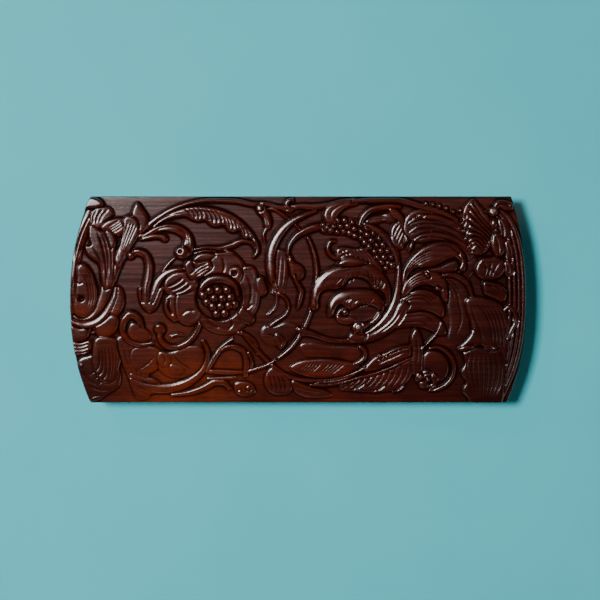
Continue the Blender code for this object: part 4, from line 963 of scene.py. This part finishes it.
class Shader:
    """A material whose nodes are added one at a time and joined by name."""

    def __init__(self, name):
        self.material = bpy.data.materials.new(name)
        self.material.use_nodes = True
        self.tree = self.material.node_tree
        self.surface = self.tree.nodes["Principled BSDF"]
        self.place = self.add("ShaderNodeTexCoord").outputs["Object"]

    def add(self, kind, **values):
        node = self.tree.nodes.new(kind)
        for key, value in values.items():
            setattr(node, key, value)
        return node

    def join(self, source, target):
        self.tree.links.new(source, target)

    def set(self, **values):
        """Sets shader sockets: a number, a colour or another node's output."""
        for key, value in values.items():
            socket = self.surface.inputs[key.replace("_", " ")]
            if isinstance(value, bpy.types.NodeSocket):
                self.join(value, socket)
            elif isinstance(value, tuple):
                socket.default_value = (*value, 1.0)
            else:
                socket.default_value = value

    def scaled(self, x, y, z, turn=0.0):
        """The object's coordinates, multiplied along each axis and turned by so many degrees."""
        node = self.add("ShaderNodeMapping")
        node.inputs["Scale"].default_value = (x, y, z)
        node.inputs["Rotation"].default_value = (0, 0, math.radians(turn))
        self.join(self.place, node.inputs["Vector"])
        return node.outputs["Vector"]

    def noise(self, vector, scale=1.0, detail=4.0, rough=0.55, bend=0.0):
        node = self.add("ShaderNodeTexNoise")
        node.inputs["Scale"].default_value = scale
        node.inputs["Detail"].default_value = detail
        node.inputs["Roughness"].default_value = rough
        node.inputs["Distortion"].default_value = bend
        self.join(vector, node.inputs["Vector"])
        return node.outputs["Fac"]

    def cells(self, vector, scale):
        """The distance to the edge of the cell that each place is in."""
        node = self.add("ShaderNodeTexVoronoi", feature="DISTANCE_TO_EDGE")
        node.inputs["Scale"].default_value = scale
        self.join(vector, node.inputs["Vector"])
        return node.outputs["Distance"]

    def ramp(self, value, *stops):
        """stops are (place, colour)."""
        node = self.add("ShaderNodeValToRGB")
        while len(node.color_ramp.elements) < len(stops):
            node.color_ramp.elements.new(0.5)
        for element, (where, colour) in zip(node.color_ramp.elements, stops):
            element.position = where
            element.color = (*colour, 1.0)
        self.join(value, node.inputs["Fac"])
        return node.outputs["Color"]

    def range(self, value, low, high, to_low=0.0, to_high=1.0):
        """The value carried over from low and high to to_low and to_high."""
        node = self.add("ShaderNodeMapRange")
        for name, number in (("From Min", low), ("From Max", high), ("To Min", to_low), ("To Max", to_high)):
            node.inputs[name].default_value = number
        self.join(value, node.inputs["Value"])
        return node.outputs["Result"]

    def sums(self, first, second, operation="MULTIPLY"):
        """Arithmetic on two values, each a number or a node's output."""
        node = self.add("ShaderNodeMath", operation=operation)
        for socket, value in zip(node.inputs, (first, second)):
            if isinstance(value, bpy.types.NodeSocket):
                self.join(value, socket)
            else:
                socket.default_value = value
        return node.outputs["Value"]

    def mixed(self, share, first, second):
        node = self.add("ShaderNodeMix", data_type="RGBA")
        for name, value in (("Factor", share), ("A", first), ("B", second)):
            socket = next(s for s in node.inputs if s.name == name and s.enabled)
            if isinstance(value, bpy.types.NodeSocket):
                self.join(value, socket)
            elif isinstance(value, tuple):
                socket.default_value = (*value, 1.0)
            else:
                socket.default_value = value
        return next(s for s in node.outputs if s.enabled)

    def attribute(self, name):
        node = self.add("ShaderNodeAttribute", attribute_name=name)
        return node.outputs["Fac"]

    def bump(self, height, distance, strength=1.0, below=None):
        node = self.add("ShaderNodeBump")
        node.inputs["Distance"].default_value = distance * MM
        node.inputs["Strength"].default_value = strength
        self.join(height, node.inputs["Height"])
        if below is not None:
            self.join(below, node.inputs["Normal"])
        return node.outputs["Normal"]


def wood_grain(s):
    """Broad figure, fine streaks and pores, all drawn out along X."""
    figure = s.noise(s.scaled(5, 55, 60), 1.0, 5, 0.6, 0.8)
    streaks = s.noise(s.scaled(14, 420, 420), 1.0, 4, 0.6, 0.3)
    pores = s.noise(s.scaled(90, 2300, 2300), 1.0, 2, 0.7)
    return figure, streaks, pores


GRAIN_DARK = (0.019, 0.0017, 0.0009)
GRAIN_MIDDLE = (0.046, 0.0040, 0.0014)
GRAIN_LIGHT = (0.086, 0.0082, 0.0022)
LOWER_LEFT_ORANGE = (0.118, 0.0155, 0.0022)  # the orange lower left
MOTTLED = (0.014, 0.0014, 0.0008)
# painted shade: the right end, the lower edge and the lower left corner drawn darker, where the light falls
# off
ENDS_PAINTED_SHADE = (0.0110, 0.0013, 0.0009)  # the right end and the lower left corner
RUBBED = (0.105, 0.015, 0.005)
# painted shade, nearly black in the cuts and hollows
HOLLOW_PAINTED_SHADE = (0.0030, 0.0011, 0.0009)


def carved_mahogany():
    """Old polished mahogany: redder where hands and polish reach, with painted shade that turns the cuts
    nearly black and darkens the right end, the lower edge and the lower left corner.
    """
    s = Shader("carved_mahogany")
    figure, streaks, pores = wood_grain(s)
    tone = s.sums(s.sums(figure, 0.55), s.sums(streaks, 0.45), "ADD")
    wood = s.ramp(tone, (0.32, GRAIN_DARK), (0.5, GRAIN_MIDDLE), (0.68, GRAIN_LIGHT))
    axes = s.add("ShaderNodeSeparateXYZ")
    s.join(s.place, axes.inputs["Vector"])
    # orange mixed in toward the lower left, in noisy patches
    left = s.range(axes.outputs["X"], 0.06, -0.11)
    low = s.range(axes.outputs["Y"], 0.02, -0.06)
    patch = s.noise(s.scaled(14, 18, 18), 1.0, 3, 0.5)
    warm = s.sums(s.sums(left, low), s.range(patch, 0.30, 0.60))
    wood = s.mixed(s.sums(warm, 0.8), wood, LOWER_LEFT_ORANGE)
    mottle = s.noise(s.scaled(60, 85, 85), 1.0, 4, 0.6)
    wood = s.mixed(s.range(mottle, 0.40, 0.68, 0.0, 0.6), wood, MOTTLED)
    # painted shade toward the right end and the bottom, and in the lower left corner
    right = s.sums(s.range(axes.outputs["X"], 0.06, 0.18),
                   s.range(axes.outputs["Y"], 0.09, -0.07, 0.35, 0.95))
    corner = s.sums(s.range(axes.outputs["X"], -0.145, -0.175),
                    s.range(axes.outputs["Y"], -0.02, -0.06, 0.0, 0.9))
    wood = s.mixed(s.sums(s.sums(right, corner, "ADD"), 0.72), wood, ENDS_PAINTED_SHADE)
    worn = s.attribute("ridge")
    wood = s.mixed(s.sums(worn, 0.30), wood, RUBBED)
    # painted shade in the cuts and hollows
    hollow = s.attribute("cavity")
    wood = s.mixed(s.sums(hollow, 0.88), wood, HOLLOW_PAINTED_SHADE)
    dull = s.sums(s.range(streaks, 0.3, 0.7, 0.22, 0.30), s.sums(worn, -0.10), "ADD")
    fine = s.bump(pores, 0.10, 0.35)
    shine = s.range(hollow, 0.10, 0.65, 0.46, 0.03)
    s.set(Base_Color=wood, Roughness=dull, Normal=s.bump(streaks, 0.25, 0.4, fine), Specular_IOR_Level=shine)
    return s.material


def plain_mahogany(name, dark, light, rough, coat):
    s = Shader(name)
    figure, streaks, pores = wood_grain(s)
    tone = s.sums(s.sums(figure, 0.55), s.sums(streaks, 0.45), "ADD")
    wear = s.range(s.noise(s.scaled(22, 26, 26), 1.0, 4, 0.6), 0.5, 0.75)
    wood = s.ramp(tone, (0.34, dark), (0.66, light))
    wood = s.mixed(s.sums(wear, 0.35), wood, tuple(c * 0.45 for c in dark))
    roughness = s.range(streaks, 0.3, 0.7, rough - 0.07, rough + 0.09)
    fine = s.bump(pores, 0.12, 0.45)
    s.set(Base_Color=wood, Roughness=roughness, Normal=s.bump(streaks, 0.3, 0.4, fine), Coat_Weight=coat,
          Coat_Roughness=0.25)
    return s.material


def leather_finish(name, dark, light, grain, rough, nap=0.0):
    """Leather: pebbled cells, broad creases and rubbed high spots."""
    s = Shader(name)
    pebbles = s.cells(s.scaled(1, 1, 1), grain)
    creases = s.noise(s.scaled(60, 60, 160), 1.0, 5, 0.62, 0.6)
    blotch = s.noise(s.scaled(18, 18, 30), 1.0, 3, 0.55)
    tone = s.sums(s.sums(blotch, 0.6), s.sums(creases, 0.4), "ADD")
    hide = s.ramp(tone, (0.36, dark), (0.66, light))
    hide = s.mixed(s.range(pebbles, 0.0, 0.16, 0.55, 0.0), hide, tuple(c * 0.4 for c in dark))
    roughness = s.range(tone, 0.35, 0.65, rough + 0.08, rough - 0.08)
    fine = s.bump(s.range(pebbles, 0.0, 0.25), 0.16, 0.55)
    s.set(Base_Color=hide, Roughness=roughness, Normal=s.bump(creases, 0.5, 0.55, fine), Sheen_Weight=nap,
          Sheen_Roughness=0.5)
    return s.material


def metal_finish(name, bright, dull, rough, scratch=900):
    """Metal with tarnish in patches, fine scratches and small dents."""
    s = Shader(name)
    tarnish = s.noise(s.scaled(90, 90, 90), 1.0, 5, 0.6, 0.4)
    scratches = s.noise(s.scaled(scratch, 90, 60, 35), 1.0, 3, 0.6)
    share = s.range(tarnish, 0.38, 0.66)
    roughness = s.sums(s.range(tarnish, 0.35, 0.7, rough - 0.08, rough + 0.2),
                       s.range(scratches, 0.4, 0.7, 0, 0.12),
                       "ADD")
    s.set(Base_Color=s.mixed(share, bright, dull), Metallic=1.0, Roughness=roughness,
          Normal=s.bump(scratches, 0.06, 0.5, s.bump(tarnish, 0.2, 0.4)))
    return s.material


def paper_finish():
    s = Shader("pale_floor")
    mottle = s.noise(s.scaled(6, 6, 6), 1.0, 4, 0.6)
    fine = s.noise(s.scaled(700, 700, 700), 1.0, 3, 0.6)
    tone = s.ramp(mottle, (0.3, (0.055, 0.500, 0.570)), (0.7, (0.065, 0.535, 0.605)))
    s.set(Base_Color=tone, Roughness=0.85, Specular_IOR_Level=0.25, Normal=s.bump(fine, 0.15, 0.2))
    return s.material


CARVED = carved_mahogany()
PLAIN = plain_mahogany("plain_mahogany", (0.036, 0.009, 0.004), (0.110, 0.030, 0.011), 0.56, 0.06)
ASH = plain_mahogany("bent_ash", (0.26, 0.15, 0.07), (0.46, 0.30, 0.15), 0.58, 0.0)
HIDE = leather_finish("dark_hide", (0.085, 0.027, 0.011), (0.280, 0.100, 0.035), 950, 0.50)
STRIP = leather_finish("binding_hide", (0.026, 0.010, 0.005), (0.110, 0.040, 0.017), 800, 0.44)
SUEDE = leather_finish("pale_hide", (0.30, 0.18, 0.095), (0.50, 0.34, 0.20), 1300, 0.78, nap=0.35)
BRASS = metal_finish("old_brass", (0.86, 0.46, 0.15), (0.36, 0.17, 0.055), 0.32)
STEEL = metal_finish("dark_steel", (0.32, 0.31, 0.30), (0.10, 0.085, 0.075), 0.40)


# --- The carved lid ---


def end_x(v):
    """The lid's left and right ends, for v from -1 at the front edge to 1 at the rear edge."""
    right_bow = np.where(v < 0, RIGHT_FRONT_BOW, RIGHT_REAR_BOW)
    bowed = np.abs(v) ** BOW_POWER
    return -HALF_LENGTH + LEFT_BOW * bowed, HALF_LENGTH - right_bow * bowed


def sampled(field, x, y):
    """The field's values between its grid points."""
    column = np.clip((x + FIELD_X) / PITCH, 0, field.shape[1] - 1.001)
    row = np.clip((y + FIELD_Y) / PITCH, 0, field.shape[0] - 1.001)
    i, j = row.astype(int), column.astype(int)
    a, b = row - i, column - j
    near = field[i, j] * (1 - b) + field[i, j + 1] * b
    far = field[i + 1, j] * (1 - b) + field[i + 1, j + 1] * b
    return near * (1 - a) + far * a


def spaced(half, pitch):
    """Places from -half to half, closer together where the edges are rounded."""
    edge = np.array([0, 0.1, 0.3, 0.6, 0.95])
    middle = np.linspace(-half + 1.35, half - 1.35, int(2 * half / pitch))
    return np.concatenate((-half + edge, middle, (half - edge)[::-1]))


def rounded_edge(distance, radius=1.2):
    """How far the surface has dropped, at this distance in from an edge."""
    near = np.clip(1 - distance / radius, 0, 1)
    return radius * (1 - np.sqrt(1 - near**2))


def lid_surface(height, pitch):
    """The upper surface as grids of x, y and z."""
    y = spaced(HALF_WIDTH, pitch)
    v = y / HALF_WIDTH
    u = (spaced(HALF_LENGTH, pitch) / HALF_LENGTH + 1) / 2
    left, right = end_x(v)
    x = left[:, None] + (right - left)[:, None] * u[None, :]
    y = np.broadcast_to(y[:, None], x.shape)
    blank = LID_TOP - CROWN * (y / HALF_WIDTH) ** 2
    z = blank - HIGHEST + sampled(height, x, y)
    from_end = np.minimum(x - left[:, None], right[:, None] - x)
    z = z - rounded_edge(from_end) - rounded_edge(HALF_WIDTH - np.abs(y))
    return x, y, z


def loop_points(grid):
    """The grid's border, once round."""
    return np.concatenate((grid[0, :-1], grid[:-1, -1], grid[-1, :0:-1], grid[:0:-1, 0]))


def make_lid():
    as_cut, height = carve_lid()
    x, y, z = lid_surface(height, 0.5)
    rows, columns = x.shape
    index = np.arange(rows * columns).reshape(rows, columns)
    quads = np.stack((index[:-1, :-1], index[:-1, 1:], index[1:, 1:], index[1:, :-1]),
                     axis=-1).reshape(-1, 4)
    border = loop_points(index)
    bx, by = loop_points(x), loop_points(y)
    inset = 1 - 0.8 / HALF_WIDTH
    wall = [(bx, by, np.full(len(bx), LID_UNDER + 0.8)), (bx * inset, by * inset, np.full(len(bx),
                                                                                          LID_UNDER))]
    points = [np.column_stack((x.ravel(), y.ravel(), z.ravel()))]
    faces = quads.tolist()
    last = border
    for ring in wall:
        first = sum(len(p) for p in points)
        points.append(np.column_stack(ring))
        ids = np.arange(first, first + len(bx))
        faces += [(int(a), int(b), int(c), int(d)) for a, b, c, d in
                  zip(last, ids, np.roll(ids, -1), np.roll(last, -1))]
        last = ids
    # the raised middle under the lid
    line, outs, _ = chamber_line(BLOCK_BACK_X + 0.3, 4.0)
    rings = []
    for out, high in ((0.0, LID_UNDER), (0.0, LID_STEP + 0.5), (-0.5, LID_STEP)):
        first = sum(len(p) for p in points)
        points.append(np.column_stack((line + outs * out, np.full(len(line), high))))
        rings.append(np.arange(first, first + len(line)))
    for above, below in zip(rings, rings[1:]):
        faces += [(int(a), int(b), int(c), int(d)) for a, b, c, d in
                  zip(above, below, np.roll(below, -1), np.roll(above, -1))]
    faces.append(tuple(int(i) for i in rings[-1]))
    lid = mesh_piece("carved_lid", np.concatenate(points), faces, CARVED, sharp=60)
    fill_between(lid, last, rings[0])
    mark_depths(lid, as_cut)
    return lid


def fill_between(piece, outer, inner):
    """Fills the flat underside between the border and the raised middle."""
    form = bmesh.new()
    form.from_mesh(piece.data)
    form.verts.ensure_lookup_table()
    edges = []
    for loop in (outer, inner):
        for a, b in zip(loop, np.roll(loop, -1)):
            edges.append(form.edges.get((form.verts[int(a)], form.verts[int(b)])))
    bmesh.ops.triangle_fill(form, edges=edges, use_beauty=True)
    bmesh.ops.recalc_face_normals(form, faces=form.faces)
    form.to_mesh(piece.data)
    form.free()


def mark_depths(piece, height):
    """Stores how hollow and how proud each point is, for the material: painted shade in the hollows, rubbed
    wear on the proud points.
    """
    mesh = piece.data
    places = np.zeros(len(mesh.vertices) * 3)
    mesh.vertices.foreach_get("co", places)
    places = places.reshape(-1, 3) / MM
    upper = places[:, 2] > LID_UNDER + 1.5
    near, wide = softened(height, 1.0), softened(height, 2.5)
    hollow = np.clip((near - height) / 0.62, 0, 1) + np.clip((wide - height - 0.3) / 2.2, 0, 0.6)
    proud = np.clip((height - near - 0.1) / 0.9, 0, 1)
    for name, field in (("cavity", np.clip(hollow, 0, 1)), ("ridge", proud)):
        values = sampled(field, places[:, 0], places[:, 1]) * upper
        mesh.attributes.new(name, "FLOAT", "POINT").data.foreach_set("value", values.astype(np.float32))


lid = make_lid()
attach(lid, "lid")
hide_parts("top_board")


# --- Leather round the chamber ---

VALLEYS = ((14.8, 0.85), (21.0, 0.65), (27.2, 0.85))  # height of each fold, and half of its mouth
PLEAT_NEAR, PLEAT_FAR = 3.0, 20.0
SKIN_OUTSIDE, SKIN_INSIDE = 0.95, 0.15  # the leather's faces, outwards from the chamber's line
WAVE_HEIGHT = 0.16  # how far the slack leather between two folds waves in and out


def pleat_depth(x):
    """How deep the folds are here: none beside the head block, deepest at the grip end."""
    share = (x - BLOCK_BACK_X) / (GRIP_END_X - BLOCK_BACK_X)
    return np.where(x < BLOCK_BACK_X, 0.0, PLEAT_NEAR + (PLEAT_FAR - PLEAT_NEAR) * share)


def pleat_rows():
    """The leather's section from the lower edge up, outside and inside.

    Each row is a height, how far it is drawn in whatever the depth, and its share of the fold's depth.
    """
    outside = [(EDGE_LOW, 0, 0), (9.0, 0, 0), (11.0, 0, 0)]
    inside = [(EDGE_LOW, 0, 0)]
    for middle, mouth in VALLEYS:
        rim = [(middle - mouth - 1.3, 0.0, 0), (middle - mouth - 0.75, 0.06, 0),
               (middle - mouth - 0.35, 0.3, 0),
               (middle - mouth - 0.08, 0.75, 0)]
        wall = [(middle - mouth * (1 - 0.85 * t), 0.85, t) for t in (0.06, 0.3, 0.6, 0.9)]
        fold = rim + wall + [(middle, 0.85, 1)]
        outside += fold + [(2 * middle - z, a, t) for z, a, t in fold[-2::-1]]
        back = [(middle - mouth - SKIN, 0, 0), (middle - mouth - SKIN, 0, 0.5), (middle - 0.95, 0, 1)]
        inside += back + [(2 * middle - z, a, t) for z, a, t in back[::-1]]
        if middle < VALLEYS[-1][0]:
            ridge = np.linspace(middle + 2.1, middle + 4.1, 7)
            outside += [(z, 0, 0) for z in ridge[1:-1:2]]
            inside += [(z, 0, 0) for z in ridge]
    outside += [(31.0, 0, 0), (33.0, 0, 0), (EDGE_HIGH, 0, 0)]
    inside.append((EDGE_HIGH, 0, 0))
    return np.array(outside), np.array(inside)


def make_leather():
    """The pleated skin, slightly wavy where it hangs slack between the folds."""
    line = chamber_line(WING_X, 1.3)
    outside, inside = pleat_rows()
    depths = pleat_depth(line[0][:, 0])
    draws = np.random.default_rng(7)
    lengths = np.array([5.1, 7.3, 11.9, 17.0])
    shifts = draws.uniform(0, math.tau, (4, 4))

    def ring(i):
        depth, s = depths[i], line[2][i]
        z, fixed, share = outside.T
        drop = np.minimum(fixed, depth) + share * np.maximum(depth - fixed + 0.15, 0)
        level = np.interp(z, (13, 18, 24, 29), (0, 1, 2, 3))
        slack = np.interp(z, (12.5, 14, 28, 29.5), (0, 1, 1, 0)) * (1 - share) * min(depth / 6, 1)
        wave = sum(np.sin(math.tau * s / a + b[0] + level * b[1]) for a, b in zip(lengths, shifts)) / 4
        outer = np.column_stack((SKIN_OUTSIDE - drop + WAVE_HEIGHT * wave * slack, z))
        z, _, share = inside.T
        inner = np.column_stack((SKIN_INSIDE - share * depth, z))
        return np.concatenate((outer, inner[::-1]))

    leather = swept_band("pleated_leather", line, ring, HIDE)
    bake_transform(leather)
    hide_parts("bellows_leather")


NAIL_PITCH, NAIL_RADIUS, NAIL_RISE = 12.0, 2.0, 1.15
STRIP_FACE = 2.15


def strip_section(low, high, distance):
    """A binding strip's rounded section, a little fuller between the nails."""
    full = 0.12 * (1 - math.cos(math.tau * distance / NAIL_PITCH)) / 2
    outer = STRIP_FACE + full
    return np.array([(1.1, low + 0.1), (1.7, low), (outer - 0.12, low + 0.25), (outer, low + 0.8),
                     (outer + 0.03, (low + high) / 2), (outer, high - 0.8), (outer - 0.12, high - 0.25),
                     (1.7, high), (1.1, high - 0.1)])


def make_binding(name, body, node, start_x, low, high):
    """A strip over the leather's edge, and the row of domed nails through it."""
    line = chamber_line(start_x, 1.5)
    strip = swept_band(name, line, lambda i: strip_section(low, high, line[2][i]), STRIP)
    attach(strip, body)
    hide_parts(node)
    points, outs, distances = line
    places = []
    for s in np.arange(NAIL_PITCH / 2, distances[-1], NAIL_PITCH):
        i = int(np.argmin(np.abs(distances - s)))
        at, out = points[i] + outs[i] * STRIP_FACE, outs[i]
        places.append(((at[0], at[1], (low + high) / 2), (out[0], out[1], 0)))
    nails = domes(f"{name}_nails", places, NAIL_RADIUS, NAIL_RISE, BRASS)
    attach(nails, body)


def make_gusset():
    """The folded leather that seals the joint between the head block and the lid."""
    front, back, side = -173.0, -149.6, 84.0
    low, high, lower_top, upper_low = 33.55, 34.85, 34.15, 34.25
    section = [(back, low), (front + 0.5, low), (front + 0.1, low + 0.25), (front, lower_top),
               (front, upper_low),
               (front + 0.1, high - 0.25), (front + 0.5, high), (back, high), (back, upper_low),
               (front + 0.9, upper_low), (front + 0.9, lower_top), (back, lower_top)]
    rings = [[(x, y, z) for x, z in section] for y in np.linspace(-side, side, 57)]
    gusset = mesh_piece("folded_gusset", np.concatenate(rings), tube_faces(len(rings), len(section)), HIDE)
    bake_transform(gusset)
    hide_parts("hinge_gusset")


make_leather()
make_binding("lower_strip", "base", "lower_binding", WING_X, low=7.5, high=12.5)
make_binding("upper_strip", "lid", "upper_binding", BLOCK_BACK_X + 0.3, low=29.5, high=34.5)
make_gusset()


# --- Intake valve leathers ---


def pad_outline(low, high, corner, steps=6):
    """A rectangle's outline with rounded corners, in plan."""
    outline = []
    for cx, cy, start in ((high[0] - corner, low[1] + corner, -90), (high[0] - corner, high[1] - corner, 0),
                          (low[0] + corner, high[1] - corner, 90), (low[0] + corner, low[1] + corner, 180)):
        for k in range(steps + 1):
            a = math.radians(start + 90 * k / steps)
            outline.append((cx + corner * math.cos(a), cy + corner * math.sin(a)))
    return np.array(outline)


def leather_pad(name, node, body, corner):
    """A flat piece of soft leather that fills the CAD node's box, with worn edges and a slight swell."""
    low, high = (np.array(c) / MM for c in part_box(node))
    outline = pad_outline(low, high, corner)
    middle = outline.mean(axis=0)
    thick = high[2] - low[2]
    levels = ((0.25, 0.0), (0.0, 0.3), (0.0, 0.7), (0.25, 1.0))
    rings = []
    for inset, share in levels:
        drawn = outline - np.sign(outline - middle) * inset
        rings.append(np.column_stack((drawn, np.full(len(drawn), low[2] + thick * share))))
    pad = mesh_piece(name, np.concatenate(rings), tube_faces(len(rings), len(outline)), SUEDE)
    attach(pad, body)
    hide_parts(node)


def make_valve_strap():
    """The slack strap over the flap: a flat foot at each end and an arch between them."""
    low, high = (np.array(c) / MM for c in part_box("valve_strap"))
    middle, half = (low[0] + high[0]) / 2, (high[0] - low[0]) / 2
    thick, foot = 1.2, 9.0
    reach = high[1] - foot
    rise = high[2] - thick - low[2]
    rings = []
    for y in np.linspace(-high[1], high[1], 61):
        share = min(abs(y) / reach, 1.0)
        floor = low[2] + rise * (1 - share**4)
        rings.append([(middle - half, y, floor + 0.3), (middle - half + 0.3, y, floor),
                      (middle + half - 0.3, y, floor),
                      (middle + half, y, floor + 0.3), (middle + half, y, floor + thick - 0.3),
                      (middle + half - 0.3, y, floor + thick), (middle - half + 0.3, y, floor + thick),
                      (middle - half, y, floor + thick - 0.3)])
    strap = mesh_piece("slack_strap", np.concatenate(rings), tube_faces(len(rings), 8), SUEDE)
    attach(strap, "base")
    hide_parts("valve_strap")


leather_pad("flap_leather", "valve_facing", "valve_flap", 2.0)
leather_pad("flap_tail", "valve_tail", "base", 1.5)
make_valve_strap()


# --- The CAD's own pieces ---

CAD_FINISHES = {
    "base_board": PLAIN, "head_block": PLAIN, "hoop_": ASH, "valve_plate": ASH, "valve_batten": ASH,
    "nozzle_": BRASS, "hinge_leaf": BRASS, "screw_block": BRASS, "screw_lid": BRASS, "batten_tack": BRASS,
    "strap_tack": BRASS, "hinge_pin": STEEL, "screw_head_block": STEEL,
}
for node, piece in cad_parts.items():
    for start, material in CAD_FINISHES.items():
        if node.startswith(start):
            piece.material_slots[0].material = material


# --- Floor, lights and camera ---


def make_floor():
    """A plain sheet of paper, wide enough to fill every view from above."""
    reach = 4.0
    mesh = bpy.data.meshes.new("floor")
    mesh.from_pydata([(-reach, -reach, 0), (reach, -reach, 0), (reach, reach, 0), (-reach, reach, 0)], [],
                     [(0, 1, 2, 3)])
    mesh.materials.append(paper_finish())
    floor = bpy.data.objects.new("floor", mesh)
    bpy.context.scene.collection.objects.link(floor)


def area_light(name, place, target, width, height, watts, seen_by=("diffuse", "glossy")):
    """A soft rectangular light that faces target, and lights only what seen_by names."""
    lamp = bpy.data.lights.new(name, "AREA")
    lamp.shape = "RECTANGLE"
    lamp.size, lamp.size_y = width, height
    lamp.energy = watts
    light = bpy.data.objects.new(name, lamp)
    light.location = place
    light.rotation_mode = "QUATERNION"
    light.rotation_quaternion = (Vector(target) - Vector(place)).to_track_quat("-Z", "Y")
    light.visible_diffuse = "diffuse" in seen_by
    light.visible_glossy = "glossy" in seen_by
    bpy.context.scene.collection.objects.link(light)


def make_lights():
    """A small lamp that shapes the relief, a window that the polish mirrors, and two weak fills."""
    board = (0, 0, 0.04)
    area_light("key_softbox", (-0.60, 0.14, 1.85), board, 0.34, 0.34, 46, ["diffuse"])
    area_light("gloss_window", (-1.15, 1.05, 1.70), board, 1.15, 1.05, 170, ["glossy"])
    area_light("right_fill", (1.5, -0.7, 0.55), board, 1.1, 0.7, 4.5)
    area_light("front_fill", (-0.7, -1.7, 0.50), board, 1.1, 0.7, 2.5)
    world = bpy.data.worlds.new("studio")
    world.use_nodes = True
    background = world.node_tree.nodes["Background"]
    background.inputs["Color"].default_value = (0.86, 0.95, 1.0, 1)
    background.inputs["Strength"].default_value = 0.022
    bpy.context.scene.world = world


def make_camera():
    """Straight down, as the photograph was taken."""
    camera = bpy.data.cameras.new("camera")
    camera.lens, camera.sensor_width = 85, 36
    eye = bpy.data.objects.new("camera", camera)
    eye.location = (0.0013, -0.0005, 1.2857)
    camera.clip_start, camera.clip_end = 0.05, 20
    bpy.context.scene.collection.objects.link(eye)
    bpy.context.scene.camera = eye


make_floor()
make_lights()
make_camera()
